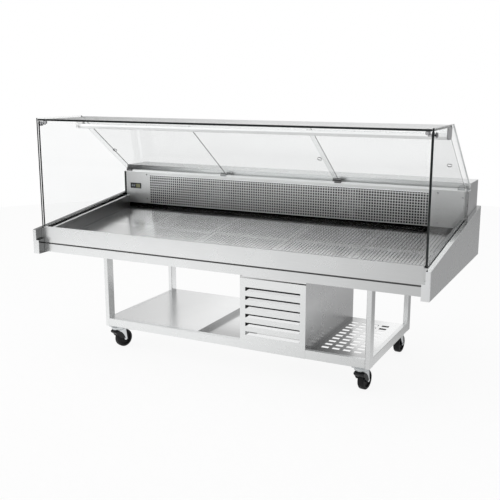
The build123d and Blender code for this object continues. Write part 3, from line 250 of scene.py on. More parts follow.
BOLT_SIDE = ((CORE, BOLT_HALF), (BOLT_RADIUS, BOLT_HALF), (BOLT_RADIUS, CHEEK_OUTER),
             (BOLT_SHANK, CHEEK_OUTER))

# Brake pedals, as outlines of (length back, height)
BEAK_HALF = 0.018
BEAK_OUTLINE = ((-0.026, 0.1030), (-0.014, 0.1035), (-0.002, 0.1010), (-0.001, 0.0925), (-0.010, 0.0850),
                (-0.016, 0.0760), (-0.024, 0.0830))
NOSE_HALF = 0.0275
NOSE_OUTLINE = ((-0.035, 0.0950), (-0.033, 0.1000), (-0.026, 0.1035), (-0.016, 0.1040), (-0.016, 0.0790),
                (-0.023, 0.0820), (-0.031, 0.0885))
SKIRT_INNER = 0.0245
SKIRT_OUTLINE = ((-0.018, 0.1038), (-0.006, 0.1000), (0.007, 0.0915), (0.018, 0.0790), (0.026, 0.0640),
                 (0.027, 0.0570), (0.020, 0.0530), (0.004, 0.0570), (-0.010, 0.0660), (-0.018, 0.0780))
PEDAL_ROUND = 0.0015

# Grey tones of the studio: walls by the height and side of a direction, floor by X and Y
WALL_TONES = ((-0.10, 0.45), (0.04, 0.75), (0.17, 0.92), (0.30, 1.0))
SIDE_TONES = ((-0.65, 0.55), (-0.45, 0.95), (-0.3, 1.0), (0.1, 0.85), (0.3, 0.45), (0.8, 0.4))
FLOOR_TONES = ((-1.0, 1.0), (-0.2, 0.95), (0.5, 0.73), (1.0, 0.68), (1.8, 0.66))
SHADE_RIGHT = ((0.3, 0.0), (0.9, 1.0))
SHADE_BACK = ((0.2, 0.0), (1.0, 1.0))
FLOOR_SHADE = 0.45
FLOOR_GLOW = 0.9
SEEN_GLOW = 0.9
FLOOR_RADIUS = 6.0
FLOOR_CORNERS = 96

# Soft boxes: place, point that they face, size and power
LAMPS = {
    "left_box": ((-4.0, -3.5, 2.6), (-0.4, 0.0, 0.8), (3.0, 3.0), 30.0),
    "top_box": ((0.0, -0.6, 4.2), (0.0, 0.0, 0.8), (4.0, 2.5), 20.0),
    "right_box": ((4.5, 1.0, 2.2), (0.6, 0.0, 0.8), (2.0, 2.5), 10.0),
}

# Photograph's camera
CAMERA_PLACE = (1.8522, -3.7489, 1.4773)
CAMERA_DIP = 0.2120
CAMERA_TILT = pi / 2 - CAMERA_DIP
CAMERA_TURN = 0.4659
CAMERA_LENS = 55.91
SENSOR = 36.0


def back(station):
    """Y of a plane that lies a given distance behind the front of the end panels."""
    return station - DEPTH / 2


# Node helpers

def new_material(name, values):
    """Material with one shader whose fixed sockets get these values."""
    made = bpy.data.materials.new(name)
    made.use_nodes = True
    shader = made.node_tree.nodes["Principled BSDF"]
    for socket, value in values.items():
        shader.inputs[socket].default_value = value
    return made, made.node_tree, shader


def object_coordinates(tree, scale=(1.0, 1.0, 1.0)):
    """Coordinates of the piece itself, in metres, stretched by a scale."""
    source = tree.nodes.new("ShaderNodeTexCoord")
    mapping = tree.nodes.new("ShaderNodeMapping")
    mapping.inputs["Scale"].default_value = scale
    tree.links.new(source.outputs["Object"], mapping.inputs["Vector"])
    return mapping.outputs["Vector"]


def separated(tree, vector):
    """Sockets X, Y and Z of a vector."""
    parts = tree.nodes.new("ShaderNodeSeparateXYZ")
    tree.links.new(vector, parts.inputs["Vector"])
    return parts.outputs


def places(tree):
    """Sockets X, Y and Z of a point of the piece, in metres."""
    return separated(tree, object_coordinates(tree))


def noise(tree, coordinates, scale, detail):
    """Noise value between 0 and 1."""
    texture = tree.nodes.new("ShaderNodeTexNoise")
    texture.inputs["Scale"].default_value = scale
    texture.inputs["Detail"].default_value = detail
    tree.links.new(coordinates, texture.inputs["Vector"])
    return texture.outputs["Fac"]


def brushed_grain(tree, along):
    """Noise value drawn out into fine lines along one axis."""
    stretch = [GRAIN_LONG if axis == along else GRAIN_FINE for axis in "XYZ"]
    return noise(tree, object_coordinates(tree, stretch), scale=1.0, detail=2.0)


def colours(tree, value, low, high):
    """Colour that runs from low to high over the middle of a noise value."""
    ramp = tree.nodes.new("ShaderNodeValToRGB")
    for element, position, colour in zip(ramp.color_ramp.elements, COLOUR_SPAN, (low, high)):
        element.position = position
        element.color = (*colour, 1.0)
    tree.links.new(value, ramp.inputs["Fac"])
    return ramp.outputs["Color"]


def spread(tree, value, low, high):
    """Number that runs from low to high over the middle of a noise value."""
    span = tree.nodes.new("ShaderNodeMapRange")
    span.inputs["From Min"].default_value = NUMBER_SPAN[0]
    span.inputs["From Max"].default_value = NUMBER_SPAN[1]
    span.inputs["To Min"].default_value = low
    span.inputs["To Max"].default_value = high
    tree.links.new(value, span.inputs["Value"])
    return span.outputs["Result"]


def bump(tree, shader, value, height, strength):
    """Small relief on a shader's normal."""
    relief = tree.nodes.new("ShaderNodeBump")
    relief.inputs["Distance"].default_value = height
    relief.inputs["Strength"].default_value = strength
    tree.links.new(value, relief.inputs["Height"])
    tree.links.new(relief.outputs["Normal"], shader.inputs["Normal"])


def calculated(tree, operation, first, second):
    """Result of a two-value sum, product or comparison; each value is a socket or a number."""
    step = tree.nodes.new("ShaderNodeMath")
    step.operation = operation
    for socket, value in zip(step.inputs, (first, second)):
        if isinstance(value, float):
            socket.default_value = value
        else:
            tree.links.new(value, socket)
    return step.outputs["Value"]


def inside(tree, low, high):
    """One for points of the piece between two corners, otherwise zero."""
    axes = places(tree)
    mask = None
    for axis, least, most in zip("XYZ", low, high):
        for operation, limit in (("GREATER_THAN", least), ("LESS_THAN", most)):
            test = calculated(tree, operation, axes[axis], limit)
            mask = test if mask is None else calculated(tree, "MULTIPLY", mask, test)
    return mask


def blended(tree, mask, first, second):
    """First colour where the mask is zero, second where it is one."""
    mix = tree.nodes.new("ShaderNodeMix")
    mix.data_type = "RGBA"
    tree.links.new(mask, mix.inputs["Factor"])
    for socket, colour in ((mix.inputs["A"], first), (mix.inputs["B"], second)):
        if isinstance(colour, tuple):
            socket.default_value = (*colour, 1.0)
        else:
            tree.links.new(colour, socket)
    return mix.outputs["Result"]


def multiplied(tree, first, second):
    """Product of two colours."""
    mix = tree.nodes.new("ShaderNodeMix")
    mix.data_type = "RGBA"
    mix.blend_type = "MULTIPLY"
    mix.inputs["Factor"].default_value = 1.0
    tree.links.new(first, mix.inputs["A"])
    tree.links.new(second, mix.inputs["B"])
    return mix.outputs["Result"]


def tones(tree, value, stops):
    """Grey tone that follows these (value, tone) stops, level before the first and after the last."""
    first, last = stops[0][0], stops[-1][0]
    span = tree.nodes.new("ShaderNodeMapRange")
    span.inputs["From Min"].default_value = first
    span.inputs["From Max"].default_value = last
    tree.links.new(value, span.inputs["Value"])
    ramp = tree.nodes.new("ShaderNodeValToRGB")
    elements = ramp.color_ramp.elements
    elements.remove(elements[1])
    elements[0].color = (*[stops[0][1]] * 3, 1.0)
    for place, tone in stops[1:]:
        elements.new((place - first) / (last - first)).color = (tone, tone, tone, 1.0)
    tree.links.new(span.outputs["Result"], ramp.inputs["Fac"])
    return ramp.outputs["Color"]


def shaded(colour, factor):
    """A colour made darker or lighter by a factor."""
    return tuple(channel * factor for channel in colour)


# Materials

def brushed_steel(name, colour, roughness, along):
    """Satin stainless sheet with a fine grain along one axis and faint cloudy patches."""
    made, tree, shader = new_material(name, {"Metallic": 1.0})
    grain = brushed_grain(tree, along)
    clouds = noise(tree, object_coordinates(tree), scale=7.0, detail=3.0)
    tint = colours(tree, grain, shaded(colour, GRAIN_CONTRAST), colour)
    gloss = spread(tree, clouds, roughness - CLOUD_GLOSS, roughness + CLOUD_GLOSS)
    tree.links.new(tint, shader.inputs["Base Color"])
    tree.links.new(gloss, shader.inputs["Roughness"])
    bump(tree, shader, grain, height=0.0002, strength=0.05)
    return made


def steel_with_painted_light(name, colour, roughness, by_axis):
    """Satin sheet with painted shade and reflections, whose tone follows some axes by their stops."""
    made = brushed_steel(name, colour, roughness, "X")
    tree = made.node_tree
    base = tree.nodes["Principled BSDF"].inputs["Base Color"]
    axes = places(tree)
    for axis, stops in by_axis.items():
        tone = tones(tree, axes[axis], stops)
        tree.links.new(multiplied(tree, base.links[0].from_socket, tone), base)
    return made


def shadowed_steel(name, colour, roughness):
    """Satin sheet of the unit panel, in shadow along its top under the fascia."""
    made = brushed_steel(name, colour, roughness, "X")
    tree = made.node_tree
    base = tree.nodes["Principled BSDF"].inputs["Base Color"]
    axes = places(tree)
    band = calculated(tree, "GREATER_THAN", axes["Z"], GRILLE_SHADE_LOW)
    shade = tones(tree, axes["X"], GRILLE_GREYS)
    tree.links.new(blended(tree, band, base.links[0].from_socket, shade), base)
    return made


def lamp_tones():
    """Stops of painted shade up the lamp bar, from shares of its height."""
    low, high = (corner.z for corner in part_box("lamp_bar"))
    return {"Z": [(low + share * (high - low), tone) for share, tone in LAMP_SHARES]}


def below_deck(tree):
    """One for points under the sloping deck, otherwise zero."""
    axes = places(tree)
    rise = calculated(tree, "MULTIPLY", axes["Y"], RIM_SLOPE)
    level = calculated(tree, "SUBTRACT", axes["Z"], rise)
    return calculated(tree, "LESS_THAN", level, DECK_PLANE + RIM_SLOPE * DEPTH / 2 - 2 * SHEET)


def space_for_painted_shade(tree, front):
    """One for points of the tub's inside that lie behind a station, where shade is painted, otherwise zero.
    """
    return inside(tree, (-TUB_HALF, back(front), LINING_LOW), (TUB_HALF, back(CHAMBER_REAR), LINING_HIGH))


def beside_cover(tree, left, right):
    """One for points of the tub's upright face beside the cover, between two X values, where shade is
    painted.
    """
    return inside(tree, (left, COVER_LOW.y - JAMB_DEPTH, COVER_LOW.z),
                  (right, COVER_LOW.y + JAMB_DEPTH, COVER_HIGH.z - SHEET))


def front_groove(tree):
    """One for points of the tub's front that show in the groove between the fascias, where shade is
    painted.
    """
    half = TUB_HALF + GROOVE_REACH
    return inside(tree, (-half, back(0.0), LINING_LOW), (half, back(TUB_FRONT) - GROOVE_REACH, GROOVE_HIGH))


def tub_steel(name, colour):
    """Steel outside, with painted shade: darker in the display well and beside the right end of the cover,
    nearly black where little light gets in.
    """
    made, tree, shader = new_material(name, {"Roughness": 0.3, "Specular IOR Level": 0.0})
    well = space_for_painted_shade(tree, TUB_FRONT)
    groove = front_groove(tree)
    sump = calculated(tree, "MULTIPLY", well, below_deck(tree))
    # Painted shade, grey in the groove and nearly black in the chamber, the sump and beside the left end of
    # the cover
    dark = groove
    for mask in (space_for_painted_shade(tree, CHAMBER_FRONT), sump, beside_cover(tree, -JAMB_END, -JAMB_EDGE)):
        dark = calculated(tree, "MAXIMUM", dark, mask)
    outside = colours(tree, brushed_grain(tree, "X"), shaded(colour, GRAIN_CONTRAST), colour)
    # Painted shade beside the right end of the cover
    jamb = beside_cover(tree, JAMB_EDGE, JAMB_END)
    outside = blended(tree, jamb, outside, shaded(colour, JAMB_PAINTED_SHADE))
    # Painted shade over the display well
    well_painted_shade = blended(tree, well, outside, shaded(colour, WELL_PAINTED_SHADE))
    hidden = blended(tree, groove, tones(tree, places(tree)["Y"], SUMP_GREYS), GROOVE_GREY)
    tree.links.new(blended(tree, dark, well_painted_shade, hidden), shader.inputs["Base Color"])
    tree.links.new(calculated(tree, "SUBTRACT", 1.0, dark), shader.inputs["Metallic"])
    return made


def mottled(name, colour, roughness, values, scale=60.0, contrast=0.85, relief=0.1):
    """Plain finish with fine mottling in its colour, gloss and surface."""
    made, tree, shader = new_material(name, values)
    specks = noise(tree, object_coordinates(tree), scale, detail=4.0)
    gloss = spread(tree, specks, roughness * (1 - MOTTLE_GLOSS), roughness * (1 + MOTTLE_GLOSS))
    tree.links.new(colours(tree, specks, shaded(colour, contrast), colour), shader.inputs["Base Color"])
    tree.links.new(gloss, shader.inputs["Roughness"])
    bump(tree, shader, specks, height=0.0004, strength=relief)
    return made


def clear_pane(name, colour, mirror):
    """Clear thin sheet: its faces mirror by a share, and what is behind it stays in line."""
    made, tree, shader = new_material(name, {"Transmission Weight": 1.0, "IOR": 1.0, "Coat Weight": mirror,
                                             "Coat IOR": 1.45, "Coat Roughness": 0.0})
    smears = noise(tree, object_coordinates(tree), scale=5.0, detail=3.0)
    tint = colours(tree, smears, shaded(colour, SMEAR_CONTRAST), colour)
    tree.links.new(tint, shader.inputs["Base Color"])
    tree.links.new(spread(tree, smears, 0.0, SMEAR_ROUGHNESS), shader.inputs["Roughness"])
    return made


def glass_edge(name, colour):
    """Polished edge of a pane, with slight ground streaks."""
    return mottled(name, colour, 0.12, {"IOR": 1.45}, scale=300.0, contrast=0.8, relief=0.05)


def finned(name, colour):
    """Block of thin aluminium fins, drawn as fine upright lines."""
    made, tree, shader = new_material(name, {"Metallic": 1.0, "Roughness": 0.4})
    lines = tree.nodes.new("ShaderNodeTexWave")
    lines.inputs["Scale"].default_value = FIN_SCALE
    tree.links.new(object_coordinates(tree), lines.inputs["Vector"])
    fins = lines.outputs["Fac"]
    tree.links.new(colours(tree, fins, shaded(colour, FIN_GAP_TONE), colour), shader.inputs["Base Color"])
    bump(tree, shader, fins, height=0.002, strength=0.6)
    return made


# Brushed sheet and other metals
STEEL = (0.86, 0.87, 0.87)
SATIN = 0.28
steel_x = brushed_steel("steel_grain_x", STEEL, SATIN, "X")
steel_y = brushed_steel("steel_grain_y", (0.92, 0.93, 0.935), SATIN, "Y")
steel_z = brushed_steel("steel_grain_z", STEEL, SATIN, "Z")
# From here to the tub, the tones and stops are painted shade and reflections
floor_plate = steel_with_painted_light("floor_plate", (0.96, 0.965, 0.965), 0.2, FLOOR_PLATE_TONES)
unit_steel = steel_with_painted_light("unit_steel", (0.96, 0.965, 0.97), SATIN, UNIT_SIDE_TONES)
fascia_steel = steel_with_painted_light("fascia_steel", (0.93, 0.94, 0.94), SATIN, FASCIA_TONES)
tray_steel = steel_with_painted_light("tray_steel", (0.97, 0.975, 0.975), 0.24, TRAY_TONES)
grille_steel = shadowed_steel("grille_steel", STEEL, SATIN)
blade_steel = steel_with_painted_light("blade_steel", (0.99, 0.99, 0.99), 0.1, BLADE_TONES)
right_rim = steel_with_painted_light("right_rim", STEEL, 0.12, RIM_TONES)
left_rim = brushed_steel("left_rim", shaded(STEEL, LEFT_RIM_TONE), 0.12, "Y")
tub_rim = brushed_steel("tub_rim", shaded(STEEL, TUB_RIM_TONE), 0.2, "Y")
step_steel = steel_with_painted_light("step_steel", STEEL, 0.3, STEP_TONES)
deck_steel = steel_with_painted_light("deck_steel", (0.99, 0.99, 0.99), 0.2, DECK_TONES)
cover_steel = steel_with_painted_light("cover_steel", shaded(STEEL, COVER_TONE), 0.3, COVER_TONES)
tub_with_painted_shade = tub_steel("tub_steel", (0.95, 0.955, 0.96))
track_metal = brushed_steel("track_metal", (0.8, 0.81, 0.81), 0.35, "X")
# Painted shade and reflection up the lamp bar
aluminium = steel_with_painted_light("satin_aluminium", (0.97, 0.975, 0.975), 0.38, lamp_tones())
clamp_metal = mottled("clamp_metal", (0.42, 0.42, 0.43), 0.18, {"Metallic": 1.0}, scale=120.0)
zinc = mottled("zinc_plate", (0.72, 0.74, 0.75), 0.22, {"Metallic": 1.0}, scale=90.0)
copper = mottled("drawn_copper", (0.72, 0.36, 0.22), 0.3, {"Metallic": 1.0}, scale=30.0, contrast=0.7)
# Near-black coil fins: painted shade in the evaporator chamber and behind the grille
coil_fins_in_painted_shade = finned("dark_coil_fins", (0.03, 0.03, 0.03))

# Panes and their edges
CLEAR = (0.985, 0.988, 0.988)
glass = clear_pane("clear_glass", CLEAR, 1.0)
front_pane = clear_pane("coated_glass", CLEAR, 0.04)
left_pane = clear_pane("side_glass_clear", CLEAR, 0.25)
right_pane = clear_pane("side_glass_grey", (0.93, 0.935, 0.935), 0.25)
panel = clear_pane("clear_panel", (0.9, 0.905, 0.905), 0.4)
door_edge = clear_pane("door_edge", (0.78, 0.79, 0.79), 0.4)
# The dark and grey edge finishes are painted shade, chosen by the way an edge faces
edge_in_painted_shade = glass_edge("glass_edge_dark", (0.012, 0.016, 0.016))
edge_in_lighter_painted_shade = glass_edge("glass_edge_grey", (0.2, 0.21, 0.21))
pale_edge = glass_edge("glass_edge_pale", (0.8, 0.82, 0.82))
hole_edge = glass_edge("hole_edge", (0.12, 0.125, 0.125))

# Plastics, rubber and paint
MILKY_DEPTH = {"Subsurface Weight": 0.3, "Subsurface Radius": (1.0, 1.0, 1.0)}
DULL = {"Specular IOR Level": 0.2}
HALF_DULL = {"Specular IOR Level": 0.3}
PITCH_BLACK = (0.012, 0.012, 0.013)
milky = mottled("milky_diffuser", (0.9, 0.9, 0.89), 0.45, MILKY_DEPTH, contrast=0.96)
black_plastic = mottled("black_plastic", PITCH_BLACK, 0.4, HALF_DULL, scale=400.0, relief=0.15)
rubber = mottled("tyre_rubber", PITCH_BLACK, 0.55, DULL, scale=250.0, relief=0.3)
seal_rubber = mottled("seal_rubber", (0.015, 0.017, 0.017), 0.5, DULL, scale=200.0)
# Near-black filter felt, partly painted shade behind the louvres
filter_felt = mottled("filter_felt", (0.02, 0.02, 0.021), 0.8, {}, scale=500.0, relief=0.4)
# Painted shade for the faces inside the groove between the fascias
groove_dark = mottled("groove_dark", (0.35, 0.35, 0.35), 0.6, {}, scale=200.0)
key_grey = mottled("key_grey", (0.17, 0.19, 0.21), 0.5, {}, scale=500.0, contrast=0.9)
display_olive = mottled("display_olive", (0.14, 0.145, 0.06), 0.2, {"Coat Weight": 0.5}, contrast=0.92)
black_paint = mottled("black_paint", (0.02, 0.02, 0.02), 0.3, {"Coat Weight": 0.2}, scale=120.0)
fan_plastic = mottled("fan_plastic", (0.07, 0.07, 0.075), 0.45, {}, scale=200.0)
bracket_grey = mottled("bracket_grey", (0.17, 0.17, 0.175), 0.45, {}, scale=150.0)
shoe_grey = mottled("shoe_grey", (0.11, 0.11, 0.11), 0.4, {}, scale=300.0)
shoe_clear = mottled("shoe_clear", (0.75, 0.77, 0.77), 0.25, {"Transmission Weight": 0.6}, scale=300.0)

# Finishes of the nodes that have one all over, or nearly so
NODE_MATERIALS = {
    "base_legs": steel_z, "base_rails": steel_x, "base_floor": floor_plate, "raised_tray": tray_steel,
    "unit_side_left": steel_z, "unit_side_right": unit_steel, "insulated_tub": tub_with_painted_shade,
    "condenser_coil": coil_fins_in_painted_shade, "condenser_motor": black_paint, "condenser_fan": fan_plastic,
    "compressor": black_paint, "refrigerant_pipes": copper,
    "end_panel_left": steel_y, "end_panel_right": steel_y, "fascia_upper": fascia_steel,
    "fascia_lower": fascia_steel, "worktop": steel_x, "door_track": track_metal, "door_guide": glass,
    "lamp_bar": aluminium, "lamp_diffuser": milky, "lamp_brackets": bracket_grey,
    "evaporator_coil": coil_fins_in_painted_shade, "evaporator_motors": black_paint,
    "evaporator_fan_left": fan_plastic, "evaporator_fan_right": fan_plastic,
    "door_shoes_left": shoe_clear, "door_shoes_middle": shoe_clear, "door_shoes_right": shoe_clear,
    "thermostat_key_1": key_grey, "thermostat_key_2": key_grey,
}

# Nodes kept out of reflections and nodes with rounded edges
UNMIRRORED = ("condenser_coil", "condenser_motor", "condenser_fan", "compressor", "refrigerant_pipes",
              "unit_side_left")
SOFTENED = ("fascia_upper", "fascia_lower", "base_rails", "base_legs")


# Finishes of the nodes

def set_materials(piece, *materials):
    """Gives a piece these materials and puts every face in the first."""
    piece.data.materials.clear()
    for made in materials:
        piece.data.materials.append(made)
    for face in piece.data.polygons:
        face.material_index = 0


def dress_faces(name, finish, chosen):
    """Gives the faces of a node that are chosen by a test another finish."""
    piece = nodes[name]
    piece.data.materials.append(finish)
    index = len(piece.data.materials) - 1
    for face in piece.data.polygons:
        if chosen(face):
            face.material_index = index


def dress_nodes():
    """Gives each node in the table its finish."""
    for name, finish in NODE_MATERIALS.items():
        set_materials(nodes[name], finish)


def dress_pane(name, clear, across, shaded_ways, edge):
    """Clear faces and finished edges; across is the direction through the pane.

    Edges that face a shaded way get painted shade, those that face up a lighter painted shade, and the
    others get the edge finish.
    """
    piece = nodes[name]
    set_materials(piece, clear, edge_in_painted_shade, edge_in_lighter_painted_shade, edge)
    for face in piece.data.polygons:
        if abs(face.normal.dot(across)) > SQUARE_ON:
            continue
        if any(face.normal.dot(way) > HALF_TURNED for way in shaded_ways):
            face.material_index = 1
        else:
            face.material_index = 2 if face.normal.z > SQUARE_ON else 3


def dress_glass():
    """Finishes the four fixed panes."""
    front, right, up = Vector((0, -1, 0)), Vector((1, 0, 0)), Vector((0, 0, 1))
    dress_pane("side_glass_left", left_pane, right, (front, -front), pale_edge)
    dress_pane("side_glass_right", right_pane, right, (front,), pale_edge)
    dress_faces("side_glass_right", right_pane, lambda face: face.normal.y > SQUARE_ON)
    dress_pane("front_glass", front_pane, front, (), front_pane)
    dress_pane("top_glass", glass, up, (front, right), pale_edge)


def dress_doors():
    """Finishes the sliding doors and the walls of their finger holes."""
    right, slope = Vector((1, 0, 0)), Vector((0, sin(DOOR_PITCH), cos(DOOR_PITCH)))

    def in_hole(face):
        return face.area < HOLE_FACET and abs(face.normal.dot(slope)) < HALF_TURNED

    for name in ("door_left", "door_middle", "door_right"):
        dress_pane(name, panel, slope, (right,), door_edge)
        dress_faces(name, hole_edge, in_hole)


def dress_thermostat():
    """Olive display in the bezel's recess."""
    set_materials(nodes["thermostat"], black_plastic)
    recess = COVER_LOW.y - DISPLAY_PROUD
    dress_faces("thermostat", display_olive, lambda face: (
        face.normal.y < -SQUARE_ON and abs(face.center.y - recess) < SAME_PLANE))


def dress_details():
    """Faces that differ from the rest of their node."""
    # Painted shade inside the fascia groove
    dress_faces("fascia_upper", groove_dark, lambda face: face.normal.z < -SQUARE_ON)
    dress_faces("fascia_lower", groove_dark, lambda face: face.normal.z > SQUARE_ON)
    dress_faces("lamp_brackets", milky, lambda face: face.center.x < 0)
    # Step and rims: painted shade and reflections
    dress_faces("worktop", step_steel, lambda face: face.normal.y < -SQUARE_ON)
    dress_faces("end_panel_right", right_rim, lambda face: face.normal.z > SLOPING)
    dress_faces("end_panel_left", left_rim, lambda face: max(face.normal.z, face.normal.x) > SLOPING)
    dress_faces("insulated_tub", tub_rim, lambda face: face.normal.z > SLOPING and face.center.x > TUB_HALF)
    dress_faces("door_shoes_left", shoe_grey, lambda face: face.center.x < -SHOE_MIDDLE)
    dress_faces("door_shoes_middle", shoe_grey, lambda face: face.center.x > 0)
    dress_faces("door_shoes_right", shoe_grey, lambda face: face.center.x < SHOE_MIDDLE)


def hide_from_mirrors():
    """Keeps the condensing unit and the panel beside it out of the reflections in the louvre lips."""
    for name in UNMIRRORED:
        nodes[name].visible_glossy = False


# Building blocks of pieces

def add_piece(name, mesh, body, finish):
    """Links a mesh as a piece that rides on a body."""
    piece = bpy.data.objects.new(name, mesh)
    bpy.context.scene.collection.objects.link(piece)
    set_materials(piece, finish)
    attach(piece, body)
    return piece


def pierced_sheet(name, across, up, is_hole, place):
    """Flat sheet on a grid of lines, left open where is_hole says; place turns grid values into a point."""
    sheet = bmesh.new()
    points = [[sheet.verts.new(place(a, b)) for b in up] for a in across]
    for i in range(len(across) - 1):
        for j in range(len(up) - 1):
            if not is_hole((across[i] + across[i + 1]) / 2, (up[j] + up[j + 1]) / 2):
                sheet.faces.new((points[i][j], points[i + 1][j], points[i + 1][j + 1], points[i][j + 1]))
    loose = [point for point in sheet.verts if not point.link_faces]
    bmesh.ops.delete(sheet, geom=loose, context="VERTS")
    mesh = bpy.data.meshes.new(name)
    sheet.to_mesh(mesh)
    sheet.free()
    return mesh


def thicken(piece, thickness):
    """Gives a skin its sheet thickness, behind its outer face."""
    solid = piece.modifiers.new("sheet", "SOLIDIFY")
    solid.thickness = thickness
    solid.offset = -1.0


def add_ring(mesh, section, place):
    """Adds a closed section of (radius, offset) points, turned full circle by a place function."""
    rows = []
    for step in range(TURN_STEPS):
        angle = 2 * pi * step / TURN_STEPS
        rows.append([mesh.verts.new(place(radius, offset, angle)) for radius, offset in section])
    for i, row in enumerate(rows):
        following = rows[(i + 1) % TURN_STEPS]
        for j in range(len(section)):
            k = (j + 1) % len(section)
            mesh.faces.new((row[j], following[j], following[k], row[k]))


def add_slab(mesh, outline, low, high, place):
    """Adds a flat slab of an outline of points between two offsets across it."""
    near = [mesh.verts.new(place(a, low, up)) for a, up in outline]
    far = [mesh.verts.new(place(a, high, up)) for a, up in outline]
    mesh.faces.new(near)
    mesh.faces.new(far[::-1])
    for j in range(len(outline)):
        k = (j + 1) % len(outline)
        mesh.faces.new((near[j], far[j], far[k], near[k]))


def rectangle(across, up):
    """Corners of a rectangle between two pairs of values."""
    (left, right), (low, high) = across, up
    return (left, low), (right, low), (right, high), (left, high)


def finish_mesh(name, built):
    """Turns a built shape into a mesh with soft rounds and crisp corners."""
    bmesh.ops.recalc_face_normals(built, faces=built.faces)
    mesh = bpy.data.meshes.new(name)
    built.to_mesh(mesh)
    built.free()
    mesh.polygons.foreach_set("use_smooth", [True] * len(mesh.polygons))
    mesh.set_sharp_from_angle(angle=SHARP_ANGLE)
    return mesh


def soften(piece, width):
    """Rounds the sharp edges of a piece."""
    rounds = piece.modifiers.new("rounds", "BEVEL")
    rounds.width = width
    rounds.segments = ROUND_SEGMENTS
    rounds.limit_method = "ANGLE"
    rounds.angle_limit = SHARP_ANGLE


# Evaporator cover and deck

def fine_cover():
    """Evaporator cover with its true fine square holes, the thermostat cut-out and the lower flange."""
    columns = [HOLES_LEFT + i * HOLE_PITCH + edge for i in range(HOLE_COLUMNS) for edge in (0, HOLE_SIZE)]
    rows = [HOLES_BOTTOM + j * HOLE_PITCH + edge for j in range(HOLE_ROWS) for edge in (0, HOLE_SIZE)]
    x, _, z = sum(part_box("thermostat"), Vector()) / 2
    half_x, half_z = (size / 2 for size in THERMOSTAT_HOLE)
    bottom, flange = COVER_LOW.z, COVER_HIGH.y - COVER_LOW.y
    across = sorted([COVER_LOW.x, x - half_x, x + half_x, *columns, COVER_HIGH.x])
    up = sorted([bottom - flange, bottom, z - half_z, z + half_z, *rows, COVER_HIGH.z])

    def is_hole(a, b):
        if abs(a - x) < half_x and abs(b - z) < half_z:
            return True
        column, row = (a - HOLES_LEFT) / HOLE_PITCH, (b - HOLES_BOTTOM) / HOLE_PITCH
        if not (0 <= column < HOLE_COLUMNS and 0 <= row < HOLE_ROWS):
            return False
        return column % 1 < HOLE_SIZE / HOLE_PITCH and row % 1 < HOLE_SIZE / HOLE_PITCH

    def place(a, b):
        turned = max(0.0, bottom - b)
        return a, COVER_LOW.y + turned, max(b, bottom)

    mesh = pierced_sheet("cover_fine", across, up, is_hole, place)
    piece = add_piece("cover_fine", mesh, "case", cover_steel)
    thicken(piece, SHEET)
    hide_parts("evaporator_cover")


def cover_screws():
    """Round heads that hold the cover near its ends."""
    built = bmesh.new()
    for x, z in SCREWS:
        add_ring(built, SCREW_SECTION, lambda radius, out, angle: (
            x + radius * cos(angle), COVER_LOW.y - out, z + radius * sin(angle)))
    add_piece("cover_screws", finish_mesh("cover_screws", built), "case", bracket_grey)


def on_deck(along, above):
    """Y and Z of a point given up the deck slope and square to it."""
    station = DECK_FRONT + along * cos(DECK_ANGLE) - above * sin(DECK_ANGLE)
    return back(station), DECK_FRONT_HEIGHT + along * sin(DECK_ANGLE) + above * cos(DECK_ANGLE)


def slot_spans(shift):
    """Lower and upper end of each slot in a column, in two groups; shift is a share of the pitch."""
    middle = (DECK_LENGTH - PLATE_BAND) / 2
    for start, end in ((PLATE_END, middle), (middle + PLATE_BAND, DECK_LENGTH - PLATE_END)):
        count = int((end - start - SLOT_LENGTH) / SLOT_PITCH_Y - shift) + 1
        for row in range(count):
            near = start + (row + shift) * SLOT_PITCH_Y
            yield near, near + SLOT_LENGTH


def fine_plate(name):
    """Deck plate with its true fine staggered slots and both end flanges."""
    low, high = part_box(name)
    count = int((high.x - low.x - 2 * PLATE_MARGIN) / SLOT_PITCH_X) + 1
    first = (low.x + high.x - (count - 1) * SLOT_PITCH_X) / 2
    columns = [first + i * SLOT_PITCH_X for i in range(count)]
    spans = [list(slot_spans(shift)) for shift in STAGGER]
    across = [low.x, high.x, *(x + side * SLOT_WIDTH / 2 for x in columns for side in (-1, 1))]
    along = {-DECK_FLANGE, 0.0, DECK_LENGTH, DECK_LENGTH + DECK_FLANGE}
    along.update(round(edge, LINE_DIGITS) for column in spans for span in column for edge in span)

    def is_hole(a, b):
        index = round((a - first) / SLOT_PITCH_X)
        if not 0 <= index < count or abs(a - columns[index]) > SLOT_WIDTH / 2:
            return False
        return any(near < b < far for near, far in spans[index % 2])

    def place(a, b):
        flat = min(max(b, 0.0), DECK_LENGTH)
        return (a, *on_deck(flat, -abs(b - flat)))

    mesh = pierced_sheet(f"{name}_fine", sorted(across), sorted(along), is_hole, place)
    piece = add_piece(f"{name}_fine", mesh, name, deck_steel)
    thicken(piece, SHEET)
    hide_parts(name)


def fine_deck():
    """Finer forms of all deck plates."""
    for name in sorted(nodes):
        if name.startswith("deck_plate_"):
            fine_plate(name)


# Casters

def caster_point(name):
    """Function that turns a place back along the trail, across and up at one caster into a point."""
    swivel = joints[f"caster_fork_{name}_swivel"]["pos_m"]
    across = Vector(joints[f"caster_wheel_{name}_roll"]["axis"])
    along = across.cross(Vector((0, 0, 1)))
    foot = Vector((swivel[0], swivel[1], 0.0))
    return lambda a, b, up: foot + a * along + b * across + Vector((0, 0, up))


def about_axle(point):
    """Function that turns a radius, a place across and an angle about the axle into a point."""
    return lambda radius, across, angle: point(
        TRAIL + radius * cos(angle), across, WHEEL_RADIUS + radius * sin(angle))


def both_sides(section):
    """A section of (radius, offset) points carried on to its mirror image."""
    return [*section, *((radius, -offset) for radius, offset in reversed(section))]


